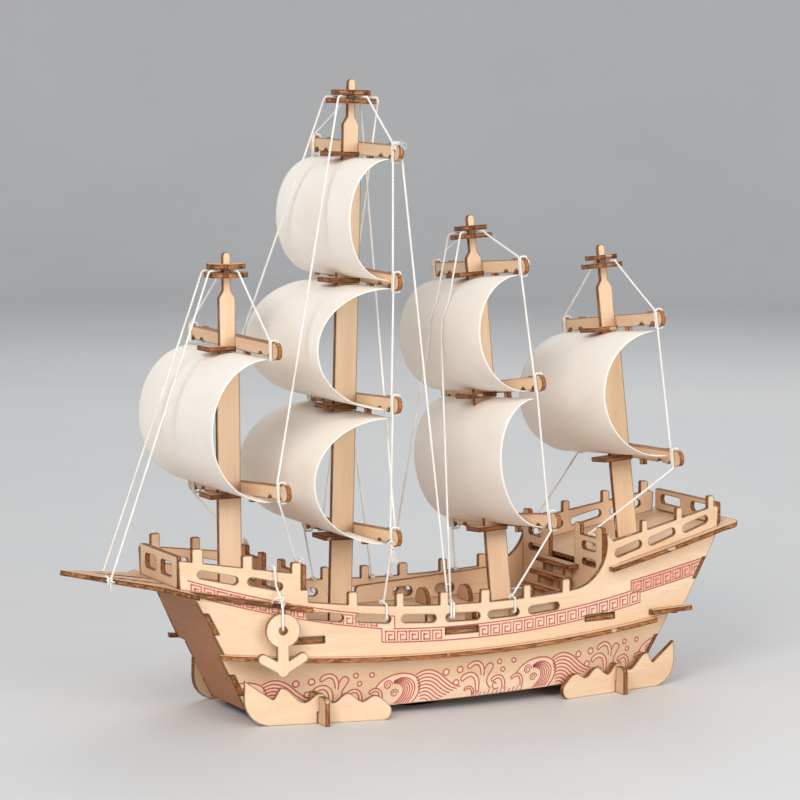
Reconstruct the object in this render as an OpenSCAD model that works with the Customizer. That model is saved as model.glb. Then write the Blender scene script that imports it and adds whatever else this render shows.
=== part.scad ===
// Slot-together plywood sailing ship: four masts, seven sails, rigged with cotton string.
// +X points to the bow, +Y to port, +Z up; the feet stand on Z = 0. Millimetres.

/* [Sheet] */
// Thickness of the plywood sheet
ply = 2.0; // [1.8:0.1:2.2]
// Diameter of the rigging string
string_d = 1.0; // [0.8:0.1:1.2]
// Thickness of a sail
sail_t = 0.5; // [0.4:0.1:0.6]

/* [Hull] */
// Half breadth of the upper hull at its widest
beam_half = 40.6; // [39:0.1:42]
// Plan radius of the upper sides
side_r = 565; // [540:5:600]
// Station of the widest point
wide_x = -28; // [-32:1:-24]
// Half breadth of the lower hull at its top edge
bilge_half = 38.0; // [37:0.1:38.5]
// Plan radius of the lower sides at their top edge
bilge_r = 380; // [370:5:390]
// How far the lower sides lean in towards the keel
bilge_lean = 3.5; // [2.5:0.1:4]
// Height of the keel above the ground
keel_z = 4.5; // [4:0.1:5]
// Height of the lowest point of the main wale
wale_z = 24.0; // [23.4:0.1:24.4]
// Sheer radius of the main wale
wale_r = 950; // [900:10:1000]
// How far the wales stand out from the sides
wale_out = 2.6; // [2:0.1:3]
// Height of the main deck
deck_z = 33.5; // [33:0.1:34]
// Lowest height of the mid rail
rail_z = 46; // [45:0.5:47]
// Sheer radius of the mid rail
rail_r = 600; // [560:10:640]

/* [Raised decks] */
// Rise of the fore deck towards the bow, in degrees
fore_slope = 10.2; // [9:0.1:11]
// Rise of the poop deck towards the stern, in degrees
poop_slope = 11.7; // [11:0.1:12.5]
// Distance of the bowsprit tip from the origin
tip_x = 154; // [150:1:156]

/* [Masts] */
// Width of a mast plank
mast_w = 10.3; // [9.5:0.1:11]
// Width of a mast above its top yard
topmast_w = 7.2; // [6.8:0.1:7.6]
// Width of a mast through its crow's nest
neck_w = 3.4; // [3:0.1:3.8]
// Height of a yard board
yard_h = 7.0; // [6.5:0.1:7.5]

/* [Anchor] */
// Outer radius of the anchor's ring
ring_r = 7.2; // [6.8:0.1:7.6]
// Radius of the hole in the anchor's ring
ring_hole_r = 1.7; // [1.5:0.1:1.9]

/* [Hidden] */
$fn = 48;
gap = 0.15;
tall = 260;

// Each mast: foot station, foot height, length, rake towards the bow, lean to starboard
mast_at = [[79.2, 29.8, 164.4, 0.4, 0], [29.1, 26.8, 239.2, -1.5, 0],
           [-50.1, 27.8, 180.4, 3.0, 4.5], [-116.2, 36.1, 158, 3.9, 4.5]];
// Height up the mast, half length and tilt of each yard
yards_at = [[[127.1, 49.5, -1], [65.6, 54, 4]],
            [[210.1, 45, -2], [157, 43.5, -2], [103.5, 46, 2], [47.8, 49, 3]],
            [[157, 44.5, -1], [104, 48.5, 3], [45.5, 52.5, 2.5]],
            [[122.8, 45, 1.4], [64.6, 47.5, -3]]];
// Half width and belly of each sail, from the top down
sails_at = [[[42, 25.5]], [[38, 18.4], [38, 33], [40, 34]], [[39.5, 21.4], [42, 19]], [[39.5, 28.5]]];
// Distance from the mast at which the string is wound round each yard
ties_at = [[43], [39.2, 39.2, 41, 43], [40.6, 43.2, 46], [40.6, 41]];
// Radii of the upper and lower crow's nest plates of each mast
nests_at = [[8.2, 9.2], [8.4, 10.6], [7.2, 9.2], [7.2, 9.2]];
anchor_at = [71.2, 36.6, 40.6];
anchor_turn = 9.9;
// The string from inside the rail, over it, back through the slot and out to the knot
anchor_tie = [[73.4, 28.2, 58], [73.4, 28.4, 66.4], [73.2, 32.9, 66.4], [72.6, 33.0, 58.6],
              [71.8, 35.6, 54.4], [71.8, 36.4, 53]];
// The hanging loop below the knot, in the anchor's own frame
anchor_loop = [[0.5, 0.3, 11.6], [0.4, 1.7, 8.6], [0.3, 1.7, 0.9], [0.2, 0.9, 0.1], [0, -0.9, 0.1],
               [-0.2, -1.7, 0.9], [-0.4, -1.7, 8.6], [-0.8, -0.3, 11.2]];
nest_drop = 4.8;
nest_gap = 1.6;
neck_len = 16;
lock_w = 13;
lock_fwd = 10.5;
clip_w = 3.2;
clip_h = 3.0;
cheek_start = 5.4;
core_short = 11;

break_fore_x = 58.4;
rail_step_x = 61.5;
rail_low_x = -18;
rise_at = [-62.5, 66.5];
rise_r = 18.6;
bow_top = [106.2, 57];
bow_bottom = [80.2, 4];
stern_top = [-141, 63.4];
stern_bottom = [-104, 4.6];
bilge_x = -22;
bilge_top = wale_z + 9;
deck_tabs = [59.4, -9.4, -77.4];
tab_w = 15;
stern_wing_x = -104;
fore_slot_x = 64;
poop_slot_x = -88;
ledge_out = 1.8;
poop_ledge = 3.6;
wale_fore_x = 96;
wale_aft_x = -107;
bow_tabs = [[39, 48], [11.5, 20.5]];
stern_tabs = [[47, 56], [14, 22]];
lower_frames = [60, 0, -62];
upper_frames = [68, 8, -30, -92];
lap_z = 13;
foot_x = [52, -87];
foot_y = [35.5, 33.5];
foot_turn = [-12, 9];
foot_lap = 5;
cross_u = 2;
// The wave-cut top of a foot, by turns a crest and a trough, from its high outer end
foot_waves = [[33.8, 19.3], [22, 11], [18.2, 15.7], [8.6, 9.2], [1.8, 12.7], [-3.6, 8.5], [-9.7, 12.2],
              [-16, 8.4], [-21.2, 10.7]];
cross_tab_z = 7;
cross_tab_h = 5;
board_slot = 3;
tread_step = 2.6;
lock_low = -3.5;

function sheer_z(x, low, low_x, r) = low + r - sqrt(r * r - (x - low_x) * (x - low_x));
function side_y(x) = beam_half - side_r + sqrt(side_r * side_r - (x - wide_x) * (x - wide_x));
function bilge_rad(z) = bilge_r + (z - bilge_top) * bilge_lean / (bilge_top - keel_z);
function bilge_y(x, z) = bilge_half - bilge_r + sqrt(bilge_rad(z) * bilge_rad(z) - (x - bilge_x) * (x - bilge_x));
function fore_z(x) = 64 + (x - tip_x) * tan(fore_slope);
function poop_z(x) = 54.4 - (x + 82.6) * tan(poop_slope);
function line_x(z, a, b) = a[0] + (z - a[1]) * (b[0] - a[0]) / (b[1] - a[1]);
function bow_x(z) = line_x(z, bow_bottom, bow_top);
function stern_x(z) = line_x(z, stern_bottom, stern_top);
function rail_at(p) = sheer_z((p[0] + p[1]) / 2, rail_z, rail_low_x, rail_r);
function tread_z(k) = 52.4 - 5.6 * k;
function bow_half(x) = 1.5 + ((tip_x - x) / cos(fore_slope) - 1) * 20 / 36;
function bow_tie(s, x) = [for (q = [[0.9, ply + 0.4], [0.9, -0.75], [-3.2, -0.75]])
    [x, s * (bow_half(x) + q[0]), fore_z(x) + q[1]]];
function sail_x(k) = ply + 0.35 - mast_half(k);
function mast_half(k) = (k == 0 ? topmast_w : mast_w) / 2;
end_t = ply / cos(atan2(bow_top[0] - bow_bottom[0], bow_top[1] - bow_bottom[1]));
stern_t = ply / cos(atan2(stern_bottom[0] - stern_top[0], stern_top[1] - stern_bottom[1]));

// ---- building blocks ----------------------------------------------------

// a profile drawn in X and Z, given a thickness along Y and centred on it
module upright(t) { rotate([90, 0, 0]) linear_extrude(t, center = true) children(); }

// a profile drawn in X and Z, extruded over the port half only
module port_slab() { translate([0, 90, 0]) rotate([90, 0, 0]) linear_extrude(90) children(); }

// a profile drawn in Y and Z, given a thickness along X from x
module athwart(x, t = ply) { translate([x, 0, 0]) rotate([90, 0, 90]) linear_extrude(t) children(); }

// a rounded bar between two points
module bar2d(a, b, w) {
    d = b - a;
    translate(a) rotate(atan2(d[1], d[0])) {
        translate([0, -w / 2]) square([norm(d), w]);
        circle(w / 2, $fn = 24);
        translate([norm(d), 0]) circle(w / 2, $fn = 24);
    }
}

// an upright post with rounded top corners
module post2d(x1, x2, z_low, z_top, r = 0.9) {
    translate([x1, z_low]) square([x2 - x1, z_top - z_low - r]);
    translate([x1 + r, z_low]) square([x2 - x1 - 2 * r, z_top - z_low]);
    for (x = [x1 + r, x2 - r]) translate([x, z_top - r]) circle(r, $fn = 24);
}

// a rectangle with rounded corners
module plate2d(w, h, r) {
    for (x = [-1, 1], y = [-1, 1]) translate([x * (w / 2 - r), y * (h / 2 - r)]) circle(r, $fn = 24);
    square([w - 2 * r, h], center = true);
    square([w, h - 2 * r], center = true);
}

// the region above a sheer line
module above2d(low, low_x, r) {
    intersection() {
        translate([low_x, low + r]) circle(r, $fn = 360);
        translate([-170, 0]) square([340, 130]);
    }
}

// the space between the two upper sides, grown outwards by extra
module inside_side(extra = 0) {
    intersection_for (s = [-1, 1])
        translate([wide_x, s * (beam_half - side_r), -5]) cylinder(r = side_r + extra, h = 140, $fn = 200);
}

// the space between the two lower sides, grown outwards by extra
module inside_bilge(extra = 0) {
    intersection_for (s = [-1, 1])
        translate([bilge_x, s * (bilge_half - bilge_r), keel_z - 2])
            cylinder(r1 = bilge_rad(keel_z - 2) + extra, r2 = bilge_rad(bilge_top) + extra,
                     h = bilge_top + 2 - keel_z, $fn = 200);
}

// ---- hull profiles, in X and Z ------------------------------------------

// the strip between the bow line and the stern line, set in by a distance
module between_ends2d(inset = 0) {
    polygon([[bow_x(-2) - inset, -2], [stern_x(-2) + inset, -2],
             [stern_x(63.4) + inset, 63.4], [stern_x(63.4) + inset, 110],
             [bow_x(57) - inset, 110], [bow_x(57) - inset, 57]]);
}

module upper_outline2d() {
    polygon([[bow_x(18), 18], [stern_x(18), 18], [stern_x(63.4), 63.4], [-142.4, poop_z(-142.4)],
             [-143.2, 77.4], [-141.6, 78.4], [-84.4, 67.4], [-81.6, 70.6], [-79.6, 70.2], [-60, 60],
             [break_fore_x, 56.1], [rail_step_x, 56.1], [rail_step_x, 62.7], [110.8, 70.2], [111.4, 69.4],
             [110.8, 57.4], [bow_x(57), 57]]);
}

// the open waist between the forecastle and the poop
module waist2d() {
    intersection() {
        above2d(rail_z, rail_low_x, rail_r);
        translate([rise_at[0], 40]) square([break_fore_x - rise_at[0], 40]);
    }
    translate(rise_at) circle(rise_r, $fn = 64);
}

module rail_posts2d() {
    for (p = [[101.6, 106], [81.6, 85.7], [61.5, 65.4]])
        post2d(p[0], p[1], fore_z(p[0]) + 12.5, fore_z(p[0]) + 20.3);
    for (p = [[37.4, 41.4], [17.1, 20.4], [-3.2, 0.7], [-22.5, -18.3], [-42.3, -38.8], [-61.8, -58]])
        post2d(p[0], p[1], rail_at(p) - 2, rail_at(p) + 5.4);
    for (p = [[-102.7, -99.5], [-122, -118.7], [-140.5, -137]])
        post2d(p[0], p[1], poop_z(p[0]) + 10, poop_z(p[0]) + 16.6);
}

module rail_slots2d() {
    for (m = [[43.4, 59.6], [22.8, 38.5], [2.4, 18], [-18, -2], [-36.7, -21.7], [-56.5, -41.3]])
        bar2d([m[0] + 1.7, sheer_z(m[0], rail_z - 5.6, rail_low_x, rail_r)],
              [m[1] - 1.7, sheer_z(m[1], rail_z - 5.6, rail_low_x, rail_r)], 3.4);
    for (m = [[87.5, 103.8], [69.2, 83.6]])
        bar2d([m[0] + 1.7, fore_z(m[0]) + 9.2], [m[1] - 1.7, fore_z(m[1]) + 9.2], 3.4);
    for (m = [[-99.5, -85.2], [-118.1, -103.3], [-137, -122.4]])
        bar2d([m[0] + 1.8, poop_z(m[0]) + 7], [m[1] - 1.8, poop_z(m[1]) + 7], 3.6);
}

// slots and notches that let the decks and end panels through a side
module deck_slots2d() {
    for (x = deck_tabs) translate([x - tab_w / 2 - 0.3, deck_z]) square([tab_w + 0.6, ply + 0.9]);
    translate([-150, deck_z]) square([150 + stern_wing_x, ply]);
    translate([fore_slot_x, fore_z(fore_slot_x)]) rotate(fore_slope) square([80, ply]);
    translate([poop_slot_x, poop_z(poop_slot_x)]) rotate(180 - poop_slope) translate([0, -ply]) square([90, ply]);
}

module end_tabs2d() {
    for (z = bow_tabs) polygon([[bow_x(z[0]) + 1, z[0]], [bow_x(z[0]) - end_t, z[0]],
                                [bow_x(z[1]) - end_t, z[1]], [bow_x(z[1]) + 1, z[1]]]);
    for (z = stern_tabs) polygon([[stern_x(z[0]) - 1, z[0]], [stern_x(z[0]) + stern_t, z[0]],
                                  [stern_x(z[1]) + stern_t, z[1]], [stern_x(z[1]) - 1, z[1]]]);
}

module upper_profile2d() {
    difference() {
        upper_outline2d();
        waist2d();
        difference() {
            translate([-170, -10]) square([340, 50]);
            above2d(wale_z + ply, 0, wale_r);
        }
        rail_slots2d();
        deck_slots2d();
        end_tabs2d();
    }
}

module lower_profile2d(inset = 0) {
    difference() {
        intersection() {
            polygon([[90, keel_z - 2], [-110, keel_z + 2], [-130, 40], [110, 40]]);
            between_ends2d(inset);
        }
        above2d(wale_z, 0, wale_r);
    }
}

// ---- hull ---------------------------------------------------------------

// the bent sheet of the port upper side, cut to a profile
module bent_side() {
    intersection() {
        difference() {
            translate([wide_x, beam_half - side_r, 0]) cylinder(r = side_r, h = 110, $fn = 200);
            translate([wide_x, beam_half - side_r, -1]) cylinder(r = side_r - ply, h = 112, $fn = 200);
        }
        port_slab() children();
    }
}

module port_upper_side() {
    color("burlywood") {
        bent_side() upper_profile2d();
        bent_side() rail_posts2d();
    }
}

module starboard_upper_side() { mirror([0, 1, 0]) port_upper_side(); }

module port_lower_side() {
    color("burlywood") intersection() {
        difference() {
            inside_bilge();
            inside_bilge(-ply);
        }
        port_slab() difference() {
            lower_profile2d();
            end_tabs2d();
            for (k = [0, 1]) translate([foot_x[k] + cross_u * (1 - 2 * k) * cos(foot_turn[k]) - ply / 2 - gap, cross_tab_z])
                square([ply + 2 * gap, cross_tab_h]);
        }
    }
}

module starboard_lower_side() { mirror([0, 1, 0]) port_lower_side(); }

module keel_spine() {
    color("tan") upright(ply) difference() {
        lower_profile2d(stern_t + 0.1);
        for (x = lower_frames) translate([x - ply / 2, lap_z]) square([ply, 40]);
    }
}

// one transverse frame of the lower hull, slotted over the keel
module lower_frame(x) {
    z_top = sheer_z(max(abs(x) - 1, 0), wale_z, 0, wale_r) - 0.05;
    z_low = keel_z + 1.6;
    far = abs(x - bilge_x) + 1;
    y_top = bilge_y(bilge_x + far, z_top) - ply - 0.1;
    y_low = bilge_y(bilge_x + far, z_low) - ply - 0.1;
    athwart(x - ply / 2) difference() {
        polygon([[-y_low, z_low], [y_low, z_low], [y_top, z_top], [-y_top, z_top]]);
        translate([-ply / 2, -1]) square([ply, lap_z + 1]);
        for (s = [-1, 1]) translate([s * 17, 13.5]) circle(4, $fn = 32);
    }
}

module lower_frames_set() { color("tan") for (x = lower_frames) lower_frame(x); }

// one transverse frame between the wale deck and the main deck
module upper_frame(x) {
    z_low = sheer_z(abs(x) + 1, wale_z + ply, 0, wale_r) + 0.02;
    half = side_y(wide_x + abs(x - wide_x) + 1) - ply - 0.1;
    athwart(x - ply / 2) difference() {
        translate([-half, z_low]) square([2 * half, deck_z - z_low - 0.02]);
        for (s = [-1, 1]) translate([s * 14, z_low - 1])
            circle(min(4.5, deck_z - z_low - 0.8), $fn = 32);
    }
}

module upper_frames_set() { color("tan") for (x = upper_frames) upper_frame(x); }

// the lower deck, whose rim is the main wale
module main_wale_deck() {
    color("peru") difference() {
        intersection() {
            inside_side(wale_out);
            upright(120) difference() {
                intersection() {
                    above2d(wale_z, 0, wale_r);
                    translate([wale_aft_x, 0]) square([wale_fore_x - wale_aft_x, 60]);
                }
                above2d(wale_z + ply, 0, wale_r);
            }
        }
        intersection() {
            inside_side(0.1);
            upright(120) difference() {
                translate([40, 0]) square([80, 60]);
                between_ends2d(end_t + 0.05);
            }
        }
    }
}

module main_deck() {
    color("wheat") difference() {
        union() {
            intersection() {
                union() {
                    inside_side(-ply - 0.05);
                    for (x = deck_tabs) intersection() {
                        inside_side(-0.1);
                        translate([x - tab_w / 2 + 0.1, -60, 0]) cube([tab_w - 0.2, 120, 60]);
                    }
                    intersection() {
                        inside_side(wale_out);
                        translate([-150, -60, 0]) cube([150 + stern_wing_x - 0.1, 120, 60]);
                    }
                }
                upright(120) intersection() {
                    between_ends2d(stern_t + 0.05);
                    translate([-150, deck_z]) square([300, ply - 0.02]);
                }
            }
            intersection() {
                difference() {
                    inside_side(wale_out);
                    inside_side(0.05);
                }
                translate([-126.6, -60, deck_z]) cube([12, 120, ply - 0.02]);
            }
        }
        mast_cutters([0, 1, 2]);
    }
}

module fore_deck() {
    c = cos(fore_slope);
    color("peru") difference() {
        intersection() {
            translate([tip_x, 0, 64]) rotate([0, -fore_slope, 0]) linear_extrude(ply - 0.02) {
                polygon([[0, 0.6], [-1, 1.5], [-37, 21.5], [-38, 23.2], [-60, 60], [-98, 60],
                         [-98, -60], [-60, -60], [-38, -23.2], [-37, -21.5], [-1, -1.5], [0, -0.6]]);
            }
            union() {
                inside_side(ledge_out);
                translate([108, -40, 0]) cube([60, 80, 90]);
            }
        }
        // the sides stand in the slots on either hand
        difference() {
            inside_side(0.05);
            inside_side(-ply - 0.05);
            translate([fore_slot_x + 0.2, -60, 0]) cube([60, 120, 110]);
        }
        for (s = [-1, 1], k = [0 : 3])
            translate([132 - 5.2 * k, s * (5 + 0.9 * k), 58]) rotate([0, 0, s * 8])
                cube([9, 1.6, 30], center = true);
        mast_cutters([0]);
    }
}

module poop_deck() {
    color("peru") difference() {
        intersection() {
            upright(120) translate([-82.6, 54.4]) rotate(180 - poop_slope)
                translate([0, -ply + 0.01]) square([80, ply - 0.02]);
            union() {
                intersection() {
                    inside_side(poop_ledge);
                    translate([-144, -60, 0]) cube([66, 120, 110]);
                }
                translate([-144, 0, 0]) linear_extrude(110) poop_end2d();
            }
            translate([-153.4, -60, 0]) cube([73.2, 120, 110]);
        }
        difference() {
            inside_side(0.05);
            inside_side(-ply - 0.05);
            translate([-200, -60, 0]) cube([200 + poop_slot_x - 0.2, 120, 110]);
        }
        mast_cutters([3]);
    }
}

// the rounded after end of the poop deck, in plan
module poop_end2d() {
    half = side_y(-144) + poop_ledge;
    translate([-4, 0]) plate2d(10.8, 2 * half, 5);
    translate([-3, -half]) square([4, 2 * half]);
}

// the sloping end panels stand between the sides and reach through them with tabs
module bow_panel() {
    color("burlywood") difference() {
        intersection() {
            upright(120) polygon([[bow_x(4.4), 4.4], [bow_x(54.4), 54.4],
                                  [bow_x(54.4) - end_t, 54.4], [bow_x(4.4) - end_t, 4.4]]);
            union() {
                intersection() {
                    inside_side(-ply - 0.05);
                    translate([60, -60, wale_z + 5]) cube([60, 120, 60]);
                }
                intersection() {
                    inside_bilge(-ply - 0.05);
                    translate([60, -60, 0]) cube([60, 120, wale_z + 6]);
                }
                bow_tab_zone(bow_tabs[0]) inside_side(-0.05);
                bow_tab_zone(bow_tabs[1]) inside_bilge(-0.05);
            }
        }
        upright(120) translate([fore_slot_x, fore_z(fore_slot_x) - 0.05])
            rotate(fore_slope) square([80, 20]);
    }
}

module bow_tab_zone(z) {
    intersection() {
        children();
        translate([60, -60, z[0] + 0.1]) cube([60, 120, z[1] - z[0] - 0.2]);
    }
}

module stern_panel() {
    color("burlywood") difference() {
        intersection() {
            upright(120) polygon([[stern_x(6.8), 6.8], [stern_x(63), 63],
                                  [stern_x(63) + stern_t, 63], [stern_x(6.8) + stern_t, 6.8]]);
            union() {
                intersection() {
                    inside_side(-ply - 0.05);
                    translate([-150, -60, wale_z + 8]) cube([80, 120, 60]);
                }
                intersection() {
                    inside_bilge(-ply - 0.05);
                    translate([-150, -60, 0]) cube([80, 120, wale_z + 9]);
                }
                stern_tab_zone(stern_tabs[0]) inside_side(-0.05);
                stern_tab_zone(stern_tabs[1]) inside_bilge(-0.05);
            }
        }
        upright(120) translate([poop_slot_x, poop_z(poop_slot_x) - 0.05]) rotate(180 - poop_slope)
            translate([0, -20]) square([80, 20]);
    }
}

module stern_tab_zone(z) {
    intersection() {
        children();
        translate([-150, -60, z[0] + 0.1]) cube([80, 120, z[1] - z[0] - 0.2]);
    }
}

// ---- deck furniture -----------------------------------------------------

module front_rail() {
    z_low = fore_z(111.3) + ply + 0.1;
    color("burlywood") athwart(109.3) difference() {
        translate([0, (z_low + 71.6) / 2]) plate2d(42, 71.6 - z_low, 0.9);
        for (s = [-1, 1]) translate([s * 9, (z_low + 71.6) / 2 + 0.3]) plate2d(12.6, 6, 1.8);
    }
}

module forecastle_rail() {
    x = rail_step_x - ply - 0.2;
    z_low = fore_z(rail_step_x) + ply / cos(fore_slope) + 0.1;
    out = side_y(x + ply) + 0.2;
    half = out - ply - 0.35;
    color("burlywood") athwart(x) difference() {
        for (s = [0, 1]) mirror([s, 0]) {
            translate([8, z_low]) square([half - 8, 62.8 - z_low]);
            translate([0, z_low]) square([9, 2.6]);
            post2d(8, 12.6, z_low, 65.6);
            post2d(half - 5.2, half, z_low, 66.4);
            // the ear that rests in the corner notch of the side
            post2d(half - 2.4, out, 56.2, 66.4);
        }
        for (s = [-1, 1]) translate([s * 19.8, z_low + 5.6]) plate2d(9.6, 5.2, 1.6);
    }
}

module poop_bulkhead() {
    x = -81.8;
    half = side_y(-82) - ply - 0.15;
    color("burlywood") athwart(x) difference() {
        union() {
            translate([-half, deck_z + ply]) square([2 * half, 17.4]);
            for (s = [-1, 1]) {
                post2d(s > 0 ? 11.6 : -half, s > 0 ? half : -11.6, deck_z + ply, 68, 1.4);
                post2d(s > 0 ? 11.6 : -16.6, s > 0 ? 16.6 : -11.6, deck_z + ply, 73, 1.6);
                post2d(s > 0 ? half - 5.5 : -half, s > 0 ? half : 5.5 - half, deck_z + ply, 73, 1.6);
            }
        }
        for (s = [-1, 1]) {
            bar2d([s * 20, 63.6], [s * 29, 63.6], 3.6);
            bar2d([s * 20, 56.4], [s * 29, 56.4], 3);
        }
    }
}

module taffrail() {
    z_low = poop_z(-144) + ply + 0.1 + 0.5;
    half = side_y(-146) - 1.9;
    color("burlywood") athwart(-146) difference() {
        translate([0, (z_low + 79.4) / 2]) plate2d(2 * half, 79.4 - z_low, 1);
        for (s = [-1, 1]) translate([s * 13, (z_low + 79.4) / 2 + 0.6]) plate2d(17, 4.2, 1.8);
    }
}

// two stepped boards that carry the treads
module stair_stringers() {
    color("sienna") for (s = [-1, 1]) translate([0, s * 9, 0]) upright(ply)
        for (k = [0 : 2])
            translate([-79.7, deck_z + ply]) square([tread_step * (k + 1) + 1.2, tread_z(k) - deck_z - ply]);
}

module stair_treads() {
    color("sienna") for (k = [0 : 2]) {
        back = k > 0 ? tread_step * k + 1.25 : 0;
        translate([-79.7 + back, -15.5, tread_z(k)]) cube([tread_step * (k + 2) - back, 31, ply]);
    }
}

module inner_bulwarks() {
    color("burlywood") for (s = [-1, 1]) translate([0, s * 35.2, 0]) upright(ply) difference() {
        polygon([[5, deck_z + ply], [-66, deck_z + ply], [-66, 46.6], [-64, 47.4], [3.6, 43.4], [5, 42.4]]);
        for (x = [-18, -39]) bar2d([x - 2.6, 39.4], [x + 2.6, 39.4], 4.2);
    }
}

module deck_arches() {
    color("burlywood") for (x = [-23, -44], s = [-1, 1]) athwart(x) translate([s * 22, deck_z + ply])
        intersection() {
            translate([0, 1.6]) circle(5.6, $fn = 48);
            translate([-8, 0]) square([16, 12]);
        }
}

// ---- feet ---------------------------------------------------------------

// one wave-cut foot board, drawn from its high outer end to its low inner end
module foot_board2d() {
    difference() {
        polygon(concat([foot_waves[0]],
                       [for (k = [1 : len(foot_waves) - 2]) each wave_run(foot_waves[k], foot_waves[k + 1])],
                       [[-21.2, 10.7], [-23, 10.3], [-24.8, 9], [-27.8, 6], [-28.4, 4.6], [-28.2, 2.6],
                        [-27.2, 0.9], [-25.6, 0]],
                       [for (a = [-84 : 12 : 0]) [22.6 + 11.4 * cos(a), 11.3 + 11.3 * sin(a)]]));
        translate([cross_u - ply / 2 - 2 * gap, -1]) square([ply + 4 * gap, foot_lap + 1]);
    }
}

// half a wave, level at both its ends
function wave_run(a, b) = [for (i = [0 : 5])
    [a[0] + (b[0] - a[0]) * i / 6, a[1] + (b[1] - a[1]) * (1 - cos(30 * i)) / 2]];

module foot_at(k) {
    translate([foot_x[k], foot_y[k], 0]) rotate([0, 0, foot_turn[k]]) children();
}

module foot(k) {
    color("burlywood") foot_at(k) mirror([k, 0, 0]) upright(ply) foot_board2d();
}

module port_fore_foot() { foot(0); }
module port_aft_foot() { foot(1); }
module starboard_fore_foot() { mirror([0, 1, 0]) foot(0); }
module starboard_aft_foot() { mirror([0, 1, 0]) foot(1); }

// one cross plate, slotted down over its foot board and tabbed into the hull
module foot_cross(k) {
    along = cross_u * (1 - 2 * k);
    x = foot_x[k] + along * cos(foot_turn[k]);
    y = foot_y[k] + along * sin(foot_turn[k]);
    reach = y - bilge_y(x, cross_tab_z + 1);
    translate([x - ply / 2, y, 0]) rotate([90, 0, 90]) linear_extrude(ply) difference() {
        union() {
            polygon([[-reach + 0.8, 4.9], [-reach + 2.6, 0], [8, 0], [8, 9.6], [7.4, 11.1],
                     [5.9, 11.7], [-1, 11.7], [-reach + 1.4, 12.4], [-reach + 0.8, 11.8]]);
            translate([-reach - 1.6, cross_tab_z + gap]) square([6, cross_tab_h - 2 * gap]);
        }
        translate([-board_slot / 2, foot_lap - 0.1]) square([board_slot, 30]);
    }
}

module foot_crosses() {
    color("peru") for (k = [0, 1]) {
        foot_cross(k);
        mirror([0, 1, 0]) foot_cross(k);
    }
}

// ---- masts and yards ----------------------------------------------------

// puts a piece drawn in a mast's own frame onto the ship
module on_mast(m) {
    p = mast_at[m];
    translate([p[0], 0, p[1]]) rotate([p[4], p[3], 0]) children();
}

module mast_plank2d(m, extra = 0) {
    h = mast_at[m][2];
    top = yards_at[m][0][0] - 8;
    w = mast_w / 2 + extra;
    t = topmast_w / 2 + extra;
    n = neck_w / 2 + extra;
    s = h - neck_len;
    polygon([[-w, 0], [w, 0], [w, top], [t, top + 2], [t, s - 3], [n, s], [n, h - n],
             [-n, h - n], [-n, s], [-t, s - 3], [-t, top + 2], [-w, top]]);
    translate([0, h - n]) circle(n, $fn = 32);
}

module mast(m) { color("burlywood") on_mast(m) upright(ply) mast_plank2d(m); }

// clearance for the foot of a mast where it goes through a deck
module mast_cutters(list) {
    for (m = list) on_mast(m) translate([0, 0, -1]) linear_extrude(60)
        square([mast_w + 2 * gap, ply + 2 * gap], center = true);
}

module fore_mast() { mast(0); }
module main_mast() { mast(1); }
module mizzen_mast() { mast(2); }
module jigger_mast() { mast(3); }

// one round plate of a crow's nest, with small notches for the rigging
module nest_plate(r, m) {
    linear_extrude(ply) difference() {
        circle(r, $fn = 64);
        square([neck_w + 2 * gap, ply + 2 * gap], center = true);
        for (a = [0 : 45 : 315]) rotate(a + 22.5) translate([r, 0]) circle(0.9, $fn = 24);
    }
}

module nest(m) {
    h = mast_at[m][2];
    color("sienna") on_mast(m) {
        translate([0, 0, h - nest_drop - ply]) nest_plate(nests_at[m][0], m);
        translate([0, 0, h - nest_drop - 2 * ply - nest_gap]) nest_plate(nests_at[m][1], m);
    }
}

module fore_nest() { nest(0); }
module main_nest() { nest(1); }
module mizzen_nest() { nest(2); }
module jigger_nest() { nest(3); }

module on_yard(m, k) {
    y = yards_at[m][k];
    on_mast(m) translate([-mast_half(k), 0, y[0]]) rotate([y[2], 0, 0]) children();
}

// the outline of one end of a yard, in Y and Z, with its hook notches; an inner board stops short
module yard_end2d(half, from, short = 0) {
    tip = half - short - yard_h / 2;
    difference() {
        union() {
            translate([from, -yard_h / 2 + 0.9]) square([tip - from, yard_h - 1.5]);
            translate([tip, 0]) circle(yard_h / 2, $fn = 40);
        }
        for (d = [8, 17.5]) translate([half - d, -yard_h / 2 - 0.1]) circle(2.5, $fn = 32);
    }
}

// the back board of a yard, with the two clips that hang beside the mast
module yard_core(m, k) {
    on_yard(m, k) athwart(-ply) for (s = [0, 1]) mirror([s, 0]) {
        yard_end2d(yards_at[m][k][1], 0, core_short);
        translate([9, -yard_h / 2 - clip_h + 1]) square([clip_w, clip_h]);
    }
}

// the two arms that lengthen a yard in front of its back board
module yard_cheek(m, k) {
    on_yard(m, k) athwart(gap / 5) for (s = [0, 1]) mirror([s, 0])
        yard_end2d(yards_at[m][k][1], cheek_start);
}

module yards(m) { color("burlywood") for (k = [0 : len(yards_at[m]) - 1]) yard_core(m, k); }
module cheeks(m) { color("burlywood") for (k = [0 : len(yards_at[m]) - 1]) yard_cheek(m, k); }

module fore_yards() { yards(0); }
module main_yards() { yards(1); }
module mizzen_yards() { yards(2); }
module jigger_yards() { yards(3); }
module fore_cheeks() { cheeks(0); }
module main_cheeks() { cheeks(1); }
module mizzen_cheeks() { cheeks(2); }
module jigger_cheeks() { cheeks(3); }

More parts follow.
